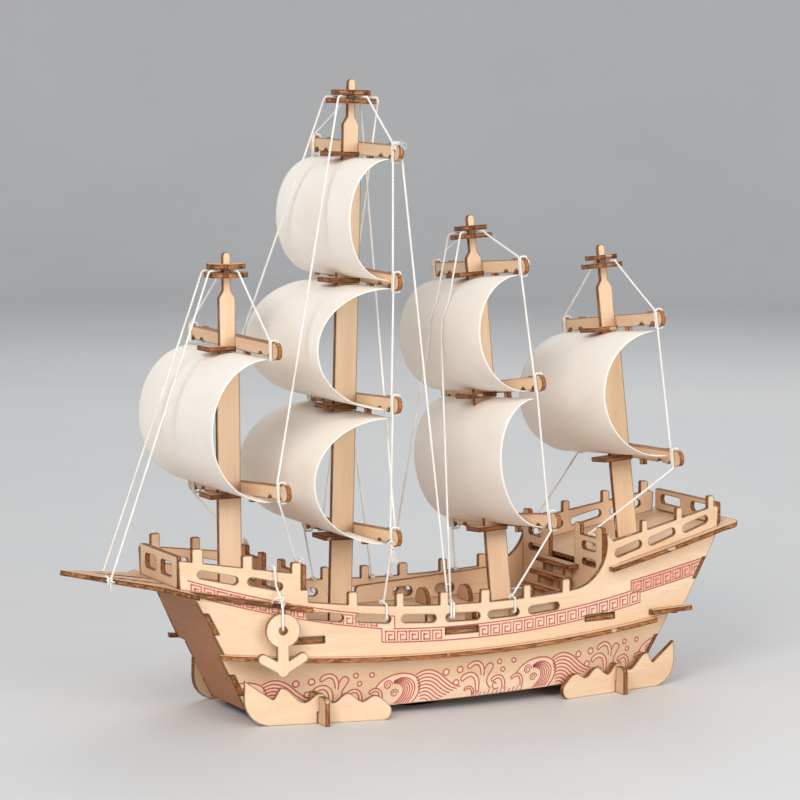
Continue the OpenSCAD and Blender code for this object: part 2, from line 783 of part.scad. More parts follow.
// the forked plates that slide onto a mast in front of each yard
module lock_plates(m) {
    color("sienna") for (k = [0 : len(yards_at[m]) - 1]) on_mast(m)
        translate([0, 0, yards_at[m][k][0] + lock_low]) linear_extrude(ply) difference() {
            translate([-mast_half(k) + ply + 0.2, -lock_w / 2]) square([lock_fwd + mast_half(k) - ply, lock_w]);
            translate([-mast_w, -ply / 2 - 0.05]) square([mast_w + mast_half(k) + 0.1, ply + 0.1]);
        }
}

module fore_locks() { lock_plates(0); }
module main_locks() { lock_plates(1); }
module mizzen_locks() { lock_plates(2); }
module jigger_locks() { lock_plates(3); }

// ---- sails --------------------------------------------------------------

// side view of a sail in its mast's frame; grow moves the line outwards
function sail_line(x, z_top, z_low, belly, grow) =
    [for (i = [0 : 24]) [x + (belly + grow) * sin(7.5 * i),
                         (z_top + z_low) / 2 + ((z_top - z_low) / 2 + grow) * cos(7.5 * i)]];

module sail(m, k) {
    z_top = yards_at[m][k][0] + lock_low - 0.7;
    z_low = yards_at[m][k + 1][0] + lock_low + ply + 0.7;
    half = sails_at[m][k][0];
    belly = sails_at[m][k][1];
    outer = sail_line(sail_x(k), z_top, z_low, belly, sail_t / 2);
    inner = sail_line(sail_x(k), z_top, z_low, belly, -sail_t / 2);
    color("ivory") on_mast(m) difference() {
        upright(2 * half) polygon(concat(outer, [for (i = [24 : -1 : 0]) inner[i]]));
        linear_extrude(tall) square([mast_w + 4 * gap, ply + 4 * gap], center = true);
    }
}

module fore_sail() { sail(0, 0); }
module main_sail_top() { sail(1, 0); }
module main_sail_middle() { sail(1, 1); }
module main_sail_lower() { sail(1, 2); }
module mizzen_sail_top() { sail(2, 0); }
module mizzen_sail_lower() { sail(2, 1); }
module jigger_sail() { sail(3, 0); }

// ---- rigging --------------------------------------------------------------

function about_x(a, p) = [p[0], p[1] * cos(a) - p[2] * sin(a), p[1] * sin(a) + p[2] * cos(a)];
function about_y(a, p) = [p[0] * cos(a) + p[2] * sin(a), p[1], p[2] * cos(a) - p[0] * sin(a)];

// a point given in a mast's frame, and one given in the frame of one of its yards
function mast_pt(m, p) = [mast_at[m][0], 0, mast_at[m][1]]
    + about_y(mast_at[m][3], about_x(mast_at[m][4], p));
function yard_pt(m, k, p) =
    mast_pt(m, [-mast_half(k), 0, yards_at[m][k][0]] + about_x(yards_at[m][k][2], p));

// out from the neck between the two nest plates and over the rim of the lower one
function nest_pts(m, a) = [for (q = [[3.4, 0], [nests_at[m][1] + 0.1, 0], [nests_at[m][1] + 0.9, -0.9]])
    mast_pt(m, [q[0] * cos(a), q[0] * sin(a), mast_at[m][2] - nest_drop - ply - nest_gap / 2 + q[1]])];

// one turn round the arm of a yard on side s
function turn_pts(m, k, y, s) = [for (q = [[1, 0, 1], [1, 0, -1], [-1, 0.2, -1], [-1, 0.6, 1], [1, 1.1, 1],
                                           [1, 1.2, -1]])
    yard_pt(m, k, [q[0] * 0.65 + (q[0] > 0 ? ply : 0), s * (y + q[1]), q[2] * (yard_h / 2 + 0.65)])];

// turns on every yard of a mast from the top down
function yard_run(m, s) = [for (k = [0 : len(ties_at[m]) - 1]) each turn_pts(m, k, ties_at[m][k], s)];

// over the mid rail at station x and back in through the slot below
function rail_tie(x, s) = [for (q = [[-1, 0.65], [1, 0.65], [1, -5.6], [-1.4, -5.6]])
    [x, s * (side_y(x) - ply / 2 + q[0] * (ply / 2 + 0.65)), sheer_z(x, rail_z, rail_low_x, rail_r) + q[1]]];

// where a string lies on the swell of the mizzen's top sail
function on_top_sail(y) = [for (z = [144, 136, 128]) let (t = (z - 128) / 24.8)
    mast_pt(2, [sail_x(0) + 1.4 + sails_at[2][0][1] * sqrt(1 - t * t), y, z])];

// over a wall that stands across the ship with its front face at x, and down behind it
function wall_tie(x, y, z, s) = [for (q = [[0.65, 0.65], [-ply - 0.65, 0.65], [-ply - 0.65, -4.6]])
    [x + q[0], y, z + q[1]]];

// a corner's bisecting frame, from the directions before and after it
function unit(v) = v / norm(v);
function ring_frame(p, i) =
    let (a = i > 0 ? unit(p[i] - p[i - 1]) : unit(p[1] - p[0]),
         b = i < len(p) - 1 ? unit(p[i + 1] - p[i]) : a)
    unit(a + b);

// carries a sideways direction along the string without twisting it
function side_of(p, i) = i == 0
    ? unit(cross(ring_frame(p, 0), abs(ring_frame(p, 0)[2]) < 0.9 ? [0, 0, 1] : [1, 0, 0]))
    : let (v = side_of(p, i - 1), t = ring_frame(p, i)) unit(v - (v * t) * t);

// a string of diameter d along a list of points
module string(p, d) {
    n = 8;
    last = len(p) - 1;
    rings = [for (i = [0 : last]) let (t = ring_frame(p, i), u = side_of(p, i), v = cross(t, u))
        for (j = [0 : n - 1]) p[i] + d / 2 * (u * cos(360 * j / n) + v * sin(360 * j / n))];
    polyhedron(rings, concat([[for (j = [0 : n - 1]) j]], [[for (j = [n - 1 : -1 : 0]) last * n + j]],
        [for (i = [0 : last - 1], j = [0 : n - 1])
            [i * n + (j + 1) % n, i * n + j, (i + 1) * n + j, (i + 1) * n + (j + 1) % n]]));
}

module fore_rigging() {
    color("ivory") {
        for (s = [-1, 1]) {
            string(concat(nest_pts(0, s * 100), turn_pts(0, 0, ties_at[0][0], s)), string_d);
            string(concat(nest_pts(0, s * 22), bow_tie(s, s > 0 ? 136.3 : 129.7)), string_d);
        }
        string(anchor_tie, string_d);
    }
}

module main_rigging() {
    color("ivory") for (s = [-1, 1]) {
        string(concat(nest_pts(1, s * 105), yard_run(1, s), rail_tie(25, s)), string_d);
        string(concat(nest_pts(1, s * 38), turn_pts(0, 1, 46, s),
                      wall_tie(rail_step_x - 0.2, s * 29.5, 66.4, s)), string_d);
        string(concat([for (z = [1.2, -1.6]) yard_pt(1, 0, [-0.65, s * 41.8, z])],
                      rail_tie(-4.2, s)), string_d);
        string(concat(nest_pts(1, s > 0 ? -135 : 155), [yard_pt(1, 3, [-ply - 0.7, s * 36.5, 2])]), string_d);
    }
}

module mizzen_rigging() {
    color("ivory") for (s = [-1, 1]) {
        string(concat(nest_pts(2, s * 100), yard_run(2, s), rail_tie(s > 0 ? -34.4 : -46, s)), string_d);
        string(concat(nest_pts(2, s * 35), on_top_sail(s * 6), rail_tie(s > 0 ? -5.4 : -13, s)), string_d);
    }
}

module jigger_rigging() {
    color("ivory") for (s = [-1, 1])
        string(concat(nest_pts(3, s * 100), yard_run(3, s), wall_tie(-79.8, s * 24.5, 68, s)), string_d);
}

// ---- anchor ---------------------------------------------------------------

// puts a piece drawn flat against the side, with its ring's hole at the origin, where it hangs
module on_anchor() { translate(anchor_at) rotate([0, 0, -anchor_turn]) children(); }

module anchor() {
    color("burlywood") on_anchor() upright(ply) difference() {
        union() {
            circle(ring_r, $fn = 64);
            translate([-2.5, -17]) square([5, 14]);
            for (s = [-1, 1]) bar2d([0, -16.6], [s * 8.4, -11.6], 4.3);
            translate([0, -17]) circle(2.5, $fn = 32);
        }
        circle(ring_hole_r, $fn = 48);
    }
}

module anchor_line() { color("ivory") on_anchor() string(anchor_loop, string_d); }

keel_spine();
lower_frames_set();
upper_frames_set();
main_wale_deck();
main_deck();
fore_deck();
poop_deck();
bow_panel();
stern_panel();
port_upper_side();
starboard_upper_side();
port_lower_side();
starboard_lower_side();
front_rail();
forecastle_rail();
poop_bulkhead();
taffrail();
stair_stringers();
stair_treads();
inner_bulwarks();
deck_arches();
port_fore_foot();
port_aft_foot();
starboard_fore_foot();
starboard_aft_foot();
foot_crosses();
fore_mast();
main_mast();
mizzen_mast();
jigger_mast();
fore_nest();
main_nest();
mizzen_nest();
jigger_nest();
fore_yards();
main_yards();
mizzen_yards();
jigger_yards();
fore_cheeks();
main_cheeks();
mizzen_cheeks();
jigger_cheeks();
fore_locks();
main_locks();
mizzen_locks();
jigger_locks();
fore_sail();
main_sail_top();
main_sail_middle();
main_sail_lower();
mizzen_sail_top();
mizzen_sail_lower();
jigger_sail();
fore_rigging();
main_rigging();
mizzen_rigging();
jigger_rigging();
anchor_line();
anchor();
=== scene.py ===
"""A slot-together plywood sailing ship: scorched edges, printed sides, stiff sails and cotton rigging."""

import math
import random

import bpy
import numpy as np
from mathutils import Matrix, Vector, noise


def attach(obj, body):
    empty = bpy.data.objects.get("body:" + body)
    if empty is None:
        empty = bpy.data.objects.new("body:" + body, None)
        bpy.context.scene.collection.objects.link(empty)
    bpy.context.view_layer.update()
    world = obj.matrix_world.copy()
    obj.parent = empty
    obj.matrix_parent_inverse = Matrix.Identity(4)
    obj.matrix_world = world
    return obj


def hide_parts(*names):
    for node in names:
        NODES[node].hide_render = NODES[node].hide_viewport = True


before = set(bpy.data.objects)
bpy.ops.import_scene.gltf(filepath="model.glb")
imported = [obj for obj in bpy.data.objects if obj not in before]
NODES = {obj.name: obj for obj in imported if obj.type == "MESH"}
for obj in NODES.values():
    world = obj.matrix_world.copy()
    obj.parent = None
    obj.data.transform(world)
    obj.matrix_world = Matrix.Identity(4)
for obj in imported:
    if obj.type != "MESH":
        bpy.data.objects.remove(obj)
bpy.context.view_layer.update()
MM = 0.001
scene = bpy.context.scene

# ---- camera and lights ---------------------------------------------------------

CAMERA_AT = Vector((0.5222, 1.0737, 0.2491))
CAMERA_TO = Vector((0.0, 0.0, 0.129))
SENSOR_W, LENS = 36.0, 125.78
LIGHTS_TO = (0.0, 0.0, 0.1)


def aim(obj, target):
    obj.rotation_euler = (Vector(target) - obj.location).to_track_quat("-Z", "Y").to_euler()


def add_object(name, data):
    obj = bpy.data.objects.new(name, data)
    scene.collection.objects.link(obj)
    return obj


camera = add_object("camera", bpy.data.cameras.new("camera"))
camera.data.sensor_width = SENSOR_W
camera.data.lens = LENS
camera.data.clip_start = 0.01
camera.location = CAMERA_AT
aim(camera, CAMERA_TO)
scene.camera = camera
scene.view_settings.view_transform = "Standard"


def area_light(name, place, size, power, colour):
    data = bpy.data.lights.new(name, "AREA")
    data.shape = "DISK"
    data.size = size
    data.energy = power
    data.color = colour
    lamp = add_object(name, data)
    lamp.location = place
    aim(lamp, LIGHTS_TO)


area_light("key_light", (1.25, 1.15, 1.15), size=1.0, power=21.0, colour=(1.0, 0.97, 0.93))
area_light("front_light", (-0.35, 1.9, 0.75), size=1.3, power=18.0, colour=(1.0, 0.98, 0.955))
area_light("back_light", (-0.9, -1.2, 1.3), size=1.2, power=7.0, colour=(1.0, 0.99, 0.97))


# ---- node helpers --------------------------------------------------------------


class Shader:
    """A small builder for one material's nodes."""

    def __init__(self, name, roughness, specular):
        self.mat = bpy.data.materials.new(name)
        self.mat.use_nodes = True
        self.tree = self.mat.node_tree
        self.bsdf = self.tree.nodes["Principled BSDF"]
        self.bsdf.inputs["Roughness"].default_value = roughness
        self.bsdf.inputs["Specular IOR Level"].default_value = specular

    def add(self, kind, inputs=None, **settings):
        made = self.tree.nodes.new(kind)
        for key, value in settings.items():
            setattr(made, key, value)
        for key, value in (inputs or {}).items():
            socket = made.inputs[key]
            if isinstance(value, bpy.types.NodeSocket):
                self.tree.links.new(value, socket)
            else:
                socket.default_value = value
        return made

    def place(self, scale):
        """The object's own coordinates, scaled along each axis."""
        coords = self.add("ShaderNodeTexCoord").outputs["Object"]
        return self.add("ShaderNodeMapping", {"Vector": coords, "Scale": scale}).outputs[0]

    def noise(self, scale, detail, roughness=0.55):
        made = self.add("ShaderNodeTexNoise", {"Vector": self.place(scale), "Scale": 1.0,
                                               "Detail": detail, "Roughness": roughness})
        return made.outputs[0]

    def spread(self, value, low, high, to_low=0.0, to_high=1.0):
        """The value carried from one range to another, and held at its ends."""
        made = self.add("ShaderNodeMapRange", {"Value": value, "From Min": low, "From Max": high,
                                               "To Min": to_low, "To Max": to_high})
        return made.outputs[0]

    def mix(self, factor, a, b):
        """Colour a turned to colour b; the sockets are numbered, as the node repeats their names."""
        made = self.add("ShaderNodeMix", data_type="RGBA")
        for key, value in ((0, factor), (6, a), (7, b)):
            if isinstance(value, bpy.types.NodeSocket):
                self.tree.links.new(value, made.inputs[key])
            else:
                made.inputs[key].default_value = value
        return made.outputs[2]

    def math(self, operation, a, b=0.5):
        return self.add("ShaderNodeMath", {0: a, 1: b}, operation=operation).outputs[0]

    def wire(self, socket, target):
        self.tree.links.new(socket, self.bsdf.inputs[target])

    def bump(self, height, strength, distance):
        made = self.add("ShaderNodeBump", {"Height": height, "Strength": strength, "Distance": distance})
        self.wire(made.outputs[0], "Normal")


def linear(r, g, b):
    """A colour given as it looks on a screen, 0 to 255, turned to light."""
    return tuple(((c / 255 + 0.055) / 1.055) ** 2.4 for c in (r, g, b)) + (1.0,)


AXES = {"X": (1.0, 0.0, 0.0), "Y": (0.0, 1.0, 0.0), "Z": (0.0, 0.0, 1.0)}
# wood faces, from the palest to the most stained; BROWN also serves as painted shade on the bow and stern
# panels
PALE, CREAM = linear(240, 211, 180), linear(228, 193, 156)
TAN, BROWN = linear(208, 156, 108), linear(160, 92, 44)
# laser-cut edges, from soot to the bare nibs
CHAR, SCORCH = linear(46, 22, 12), linear(102, 53, 27)
AMBER, NIB = linear(206, 138, 80), linear(232, 200, 158)
RIM_R = 0.0009  # how far round a corner its scorched line reaches


def plywood(name, grain, sheet, tone=0.0, burn=0.5):
    """Sanded basswood with its grain along one axis, whose cut edges are those that face away from the
    sheet's own normal. tone browns the faces and burn blackens the edges, each from 0 to 1."""
    s = Shader(name, 0.58, 0.28)

    def stretched(along, across):
        return tuple(along if axis == grain else across for axis in "XYZ")

    # faces: fine streaks, broad bands of colour and a few short pores
    streaks = s.noise(stretched(26.0, 950.0), 4.0, 0.62)
    bands = s.noise(stretched(7.0, 90.0), 2.0)
    pores = s.noise(stretched(150.0, 3200.0), 1.0)
    face = s.mix(s.spread(bands, 0.32, 0.70), PALE, CREAM)
    face = s.mix(s.spread(streaks, 0.46, 0.80, 0.0, 0.26), face, TAN)
    face = s.mix(s.spread(pores, 0.70, 0.82, 0.0, 0.20), face, SCORCH)
    if tone:
        face = s.mix(tone, face, BROWN)
    # edges: amber and brown streaks under soot, with pale nibs where the piece was held in its sheet
    fibres = s.noise(stretched(160.0, 1700.0), 3.0, 0.7)
    soot = s.noise(stretched(90.0, 520.0), 3.0, 0.6)
    held = s.noise((150.0, 150.0, 150.0), 0.0)
    edge = s.mix(s.spread(fibres, 0.36, 0.66), SCORCH, AMBER)
    edge = s.mix(s.spread(soot, 0.66 - 0.3 * burn, 0.98 - 0.3 * burn, 0.0, 0.85), edge, CHAR)
    edge = s.mix(s.spread(held, 0.79, 0.80, 0.0, 0.7), edge, NIB)
    own_normal = s.add("ShaderNodeTexCoord").outputs["Normal"]
    dot = s.add("ShaderNodeVectorMath", {0: own_normal, 1: AXES[sheet]}, operation="DOT_PRODUCT")
    turned = dot.outputs["Value"]
    is_face = s.spread(s.math("ABSOLUTE", turned), 0.66, 0.74)
    # a thin scorched line where a face meets a cut edge
    rounded = s.add("ShaderNodeBevel", {"Radius": RIM_R}, samples=4).outputs[0]
    flat = s.add("ShaderNodeNewGeometry").outputs["True Normal"]
    bent = s.add("ShaderNodeVectorMath", {0: rounded, 1: flat}, operation="DOT_PRODUCT").outputs["Value"]
    rim = s.spread(bent, 0.995, 0.93)
    s.wire(s.mix(rim, s.mix(is_face, edge, face), SCORCH if burn < 0.5 else CHAR), "Base Color")
    s.wire(s.spread(streaks, 0.3, 0.8, 0.52, 0.70), "Roughness")
    s.bump(s.math("ADD", streaks, s.math("MULTIPLY", fibres, 0.6)), 0.22, 0.00012)
    return s.mat


def cotton(name, colour, shade):
    """Matt spun cotton with a little fuzz."""
    s = Shader(name, 0.9, 0.15)
    s.bsdf.inputs["Sheen Weight"].default_value = 0.25
    s.bsdf.inputs["Sheen Roughness"].default_value = 0.6
    fuzz = s.noise((2600.0, 2600.0, 2600.0), 3.0, 0.7)
    patches = s.noise((120.0, 120.0, 120.0), 2.0)
    s.wire(s.mix(s.spread(s.math("ADD", fuzz, patches), 0.75, 1.35), colour, shade), "Base Color")
    s.bump(fuzz, 0.5, 0.00008)
    return s.mat


def sail_cloth(name):
    """Smooth stiffened cloth: a fine weave that only shows close up, and a faint mottle."""
    s = Shader(name, 0.72, 0.22)
    s.bsdf.inputs["Sheen Weight"].default_value = 0.12
    s.bsdf.inputs["Subsurface Weight"].default_value = 0.06
    s.bsdf.inputs["Subsurface Scale"].default_value = 0.002
    mottle = s.noise((38.0, 38.0, 60.0), 3.0)
    fibres = s.noise((420.0, 420.0, 2400.0), 2.0)
    tone = s.mix(s.spread(mottle, 0.35, 0.72), linear(252, 246, 238), linear(248, 239, 228))
    tone = s.mix(s.spread(fibres, 0.5, 0.85, 0.0, 0.25), tone, linear(232, 219, 202))
    s.wire(tone, "Base Color")
    thread = {"Vector": s.place((1.0, 1.0, 1.0)), "Scale": 900.0, "Distortion": 0.4}
    weft, warp = (s.add("ShaderNodeTexWave", thread, bands_direction=axis).outputs[1] for axis in "ZY")
    s.wire(s.spread(fibres, 0.3, 0.8, 0.66, 0.80), "Roughness")
    s.bump(s.math("ADD", s.math("MULTIPLY", weft, warp), mottle), 0.10, 0.0001)
    return s.mat


def ink(name, colour, paler, cover):
    """Flat printed ink that lets some of the wood's grain through."""
    s = Shader(name, 0.62, 0.2)
    grain = s.noise((30.0, 900.0, 900.0), 3.0, 0.6)
    worn = s.noise((260.0, 260.0, 260.0), 2.0)
    s.wire(s.mix(s.spread(s.math("ADD", grain, worn), 0.8, 1.3, 0.0, cover), colour, paler), "Base Color")
    s.bump(grain, 0.15, 0.00005)
    return s.mat


def floor_paint(name):
    """Plain pale paint with a very faint mottle."""
    s = Shader(name, 0.55, 0.25)
    mottle = s.noise((3.0, 3.0, 3.0), 3.0)
    s.wire(s.mix(s.spread(mottle, 0.3, 0.7), linear(212, 213, 214), linear(218, 218, 218)), "Base Color")
    return s.mat


# ---- the floor and the sky -------------------------------------------------------

world = bpy.data.worlds.new("studio")
scene.world = world
world.use_nodes = True
sky = world.node_tree.nodes["Background"]
sky.inputs["Color"].default_value = (0.88, 0.90, 0.93, 1.0)
sky.inputs["Strength"].default_value = 0.64

# a round floor that bends up into a wall, so that no horizon shows
FLOOR_R, BEND_R, WALL_TOP, AROUND, BEND_STEPS = 2.6, 0.9, 2.4, 96, 12
profile = [(r, 0.0) for r in (0.02, 1.0, FLOOR_R)]
profile += [(FLOOR_R + BEND_R * math.sin(a), BEND_R * (1 - math.cos(a)))
            for a in (math.pi / 2 * i / BEND_STEPS for i in range(1, BEND_STEPS + 1))]
profile.append((FLOOR_R + BEND_R, WALL_TOP))
floor_verts = [(r * math.cos(2 * math.pi * i / AROUND), r * math.sin(2 * math.pi * i / AROUND), z)
               for r, z in profile for i in range(AROUND)]
floor_faces = [tuple(range(AROUND))]
for ring_at in range(len(profile) - 1):
    for i in range(AROUND):
        a, b = ring_at * AROUND + i, ring_at * AROUND + (i + 1) % AROUND
        floor_faces.append((a, b, b + AROUND, a + AROUND))
floor_mesh = bpy.data.meshes.new("floor")
floor_mesh.from_pydata(floor_verts, [], floor_faces)
floor_mesh.polygons.foreach_set("use_smooth", [True] * len(floor_mesh.polygons))
floor = add_object("floor", floor_mesh)
floor.data.materials.append(floor_paint("floor_paint"))


# ---- plywood on the carried-over pieces -------------------------------------------


def paint(material, *names):
    """The material put on CAD pieces, whose meshes stay as they are."""
    for name in names:
        mesh = NODES[name].data
        mesh.materials.clear()
        mesh.materials.append(material)
        for polygon in mesh.polygons:
            polygon.material_index = 0


SHIP = ("fore", "main", "mizzen", "jigger")
paint(plywood("ply_sides", "X", "Y", 0.0, 0.55), "port_upper_side", "starboard_upper_side")
paint(plywood("ply_inner", "X", "Y", 0.08, 0.6), "inner_bulwarks", "keel_spine")
paint(plywood("ply_lower_sides", "X", "Y", 0.0, 0.6), "port_lower_side", "starboard_lower_side")
paint(plywood("ply_feet", "X", "Y", 0.0, 0.85), "port_fore_foot", "port_aft_foot", "starboard_fore_foot",
      "starboard_aft_foot")
paint(plywood("ply_crosses", "Z", "X", 0.3, 0.7), "foot_crosses")
paint(plywood("ply_rails", "Y", "X", 0.05, 0.6), "front_rail", "poop_bulkhead", "taffrail")
paint(plywood("ply_arches", "Y", "X", 0.45, 0.6), "forecastle_rail", "deck_arches")
paint(plywood("ply_frames", "Y", "X", 0.1, 0.7), "lower_frames_set", "upper_frames_set")
# tone 0.85 browns both panels: on the bow panel this is painted shade, as it leans down away from the light;
# the stern panel shares the material
paint(plywood("ply_bow_painted_shade", "Y", "X", 0.85, 0.8), "bow_panel", "stern_panel")
paint(plywood("ply_wale", "X", "Z", 0.0, 0.45), "main_wale_deck")
paint(plywood("ply_decks", "X", "Z", 0.2, 0.7), "main_deck", "poop_deck")
paint(plywood("ply_fore_deck", "X", "Z", 0.3, 1.0), "fore_deck")
paint(plywood("ply_stairs", "Y", "Z", 0.5, 0.7), "stair_treads")
paint(plywood("ply_stringers", "X", "Y", 0.4, 0.7), "stair_stringers")
paint(plywood("ply_masts", "Z", "Y", 0.0, 0.75), *[m + "_mast" for m in SHIP])
paint(plywood("ply_nests", "X", "Z", 0.35, 0.75), *[m + "_nest" for m in SHIP])
paint(plywood("ply_locks", "X", "Z", 0.4, 0.8), *[m + "_locks" for m in SHIP])
paint(plywood("ply_yards", "Y", "X", 0.2, 0.6), *[m + "_yards" for m in SHIP])
paint(plywood("ply_cheeks", "Y", "X", 0.05, 0.3), *[m + "_cheeks" for m in SHIP])
paint(plywood("ply_anchor", "Z", "Y", 0.0, 0.6), "anchor")

# ---- where the masts, yards and ties stand, in millimetres --------------------------

PLY, STRING_D, YARD_H = 2.0, 1.0, 7.0
MAST_W, TOPMAST_W = 10.3, 7.2
LOCK_LOW = -3.5  # a lock plate's under face, from the middle of its yard
NEST_DROP, NEST_GAP = 4.8, 1.6  # from the masthead down to the upper nest plate, and between the two
CLEAR = 0.65  # from a board's face to the middle of a string wound on it
# each mast: foot station, foot height, length, rake towards the bow, lean to starboard
MASTS = ((79.2, 29.8, 164.4, 0.4, 0), (29.1, 26.8, 239.2, -1.5, 0),
         (-50.1, 27.8, 180.4, 3.0, 4.5), (-116.2, 36.1, 158, 3.9, 4.5))
# height up the mast, half length and tilt of each yard
YARDS = (((127.1, 49.5, -1), (65.6, 54, 4)),
         ((210.1, 45, -2), (157, 43.5, -2), (103.5, 46, 2), (47.8, 49, 3)),
         ((157, 44.5, -1), (104, 48.5, 3), (45.5, 52.5, 2.5)),
         ((122.8, 45, 1.4), (64.6, 47.5, -3)))
# how far out on each yard its mast's line is tied
TIES = ((43,), (39.2, 39.2, 41, 43), (40.6, 43.2, 46), (40.6, 41))
NEST_R = (9.2, 10.6, 9.2, 9.2)  # each mast's lower nest plate
# each sail: its node, mast, upper yard, half width and belly
SAILS = (("fore_sail", 0, 0, 42, 25.5), ("main_sail_top", 1, 0, 38, 18.4), ("main_sail_middle", 1, 1, 38, 33),
         ("main_sail_lower", 1, 2, 40, 34), ("mizzen_sail_top", 2, 0, 39.5, 21.4),
         ("mizzen_sail_lower", 2, 1, 42, 19), ("jigger_sail", 3, 0, 39.5, 28.5))
# the forecastle's after rail, and the sweep of the mid rail
RAIL_STEP_X, RAIL_Z, RAIL_LOW_X, RAIL_R = 61.5, 46.0, -18.0, 600.0
# the bend of the upper sides: their widest station, half the width there, and the radius
WIDE_X, BEAM, SIDE_R = -28.0, 40.6, 565.0
# the bow platform: its blunt tip, its slope, how it widens, and where each side's stay goes round it
TIP_X, TIP_Z, TIP_HALF, TIP_FLAT, FORE_SLOPE = 154.0, 64, 1.5, 1, 10.2
BOW_WIDENS, BOW_RUN = 20, 36
BOW_TIES = {1: 136.3, -1: 129.7}
# the stations of the ties on the mid rail, by side where the two differ
MAIN_RAIL_X, AFTER_RAIL_X = 25, -4.2
MIZZEN_RAIL_X, STAY_RAIL_X = {1: -34.4, -1: -46}, {1: -5.4, -1: -13}
# the ties on the poop bulkhead and the forecastle's after rail
POOP_WALL_X, POOP_TIE_Y, STEP_TIE_Y = -79.8, 24.5, 29.5


def about_x(angle, p):
    """The point turned about X, by degrees."""
    c, s = math.cos(math.radians(angle)), math.sin(math.radians(angle))
    return Vector((p[0], p[1] * c - p[2] * s, p[1] * s + p[2] * c))


def about_y(angle, p):
    """The point turned about Y, by degrees."""
    c, s = math.cos(math.radians(angle)), math.sin(math.radians(angle))
    return Vector((p[0] * c + p[2] * s, p[1], p[2] * c - p[0] * s))


def mast_half(k):
    """Half the width of a mast where its yard k crosses it."""
    return (TOPMAST_W if k == 0 else MAST_W) / 2


def mast_pt(m, p):
    """A point given up mast m, in the ship's frame."""
    foot_x, foot_z, _, rake, lean = MASTS[m]
    return Vector((foot_x, 0, foot_z)) + about_y(rake, about_x(lean, p))


def yard_pt(m, k, p):
    """A point given from the middle of yard k on mast m, in the ship's frame."""
    height, _, tilt = YARDS[m][k]
    return mast_pt(m, Vector((-mast_half(k), 0, height)) + about_x(tilt, p))


def side_y(x):
    """How far out the upper side stands at a station."""
    return BEAM - SIDE_R + math.sqrt(SIDE_R**2 - (x - WIDE_X) ** 2)


def rail_top(x):
    """The height of the mid rail at a station."""
    return RAIL_Z + RAIL_R - math.sqrt(RAIL_R**2 - (x - RAIL_LOW_X) ** 2)


# ---- mesh helpers -------------------------------------------------------------------


def make_piece(name, verts, faces, material, slot_name, body="hull", smooth=True):
    """A mesh piece from points in millimetres, riding on a body."""
    mesh = bpy.data.meshes.new(name)
    mesh.from_pydata((np.asarray(verts, dtype=float) * MM).tolist(), [], faces)
    mesh.materials.append(material)
    mesh.polygons.foreach_set("use_smooth", [smooth] * len(mesh.polygons))
    mesh.validate()
    piece = add_object(name, mesh)
    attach(piece, body)
    return piece


CORNER_R = 0.8
SLACK_FROM, SLACK_STEP, SLACK_SHARE, SLACK_MOST = 18, 6, 0.004, 0.45


def rounded_route(points):
    """The route with each corner turned into a short arc, and long stretches given a trace of slack."""
    pts = [Vector(p) for p in points]
    route = [pts[0]]
    for before, at, after in zip(pts, pts[1:], pts[2:]):
        a, b = before - at, after - at
        cut = min(CORNER_R, a.length * 0.45, b.length * 0.45)
        start, end = at + a.normalized() * cut, at + b.normalized() * cut
        for i in range(4):
            t = i / 3
            route.append(start * (1 - t) ** 2 + at * (2 * t * (1 - t)) + end * t**2)
    route.append(pts[-1])
    slack = [route[0]]
    for a, b in zip(route, route[1:]):
        run = b - a
        if run.length > SLACK_FROM:
            down = Vector((0, 0, -1)) - run.normalized() * (-run.normalized().z)
            sag = min(SLACK_MOST, run.length * SLACK_SHARE)
            count = max(6, int(run.length / SLACK_STEP))
            for i in range(1, count):
                t = i / count
                slack.append(a + run * t + down * (4 * t * (1 - t) * sag))
        slack.append(b)
    return slack


def resampled(points, step, closed=False):
    """Points a step apart along a route, and how far along it each lies."""
    pts = np.array([tuple(p) for p in points])
    if closed:
        pts = np.vstack([pts, pts[:1]])
    gaps = np.linalg.norm(np.diff(pts, axis=0), axis=1)
    keep = np.concatenate([[True], gaps > 1e-6])
    pts, gaps = pts[keep], gaps[gaps > 1e-6]
    along = np.concatenate([[0], np.cumsum(gaps)])
    count = max(4, int(round(along[-1] / step)))
    at = np.linspace(0, along[-1], count + 1)
    out = np.stack([np.interp(at, along, pts[:, i]) for i in range(3)], axis=1)
    return (out[:-1] if closed else out), at


LAY_DEPTH, END_TAPER = 0.17, 0.55


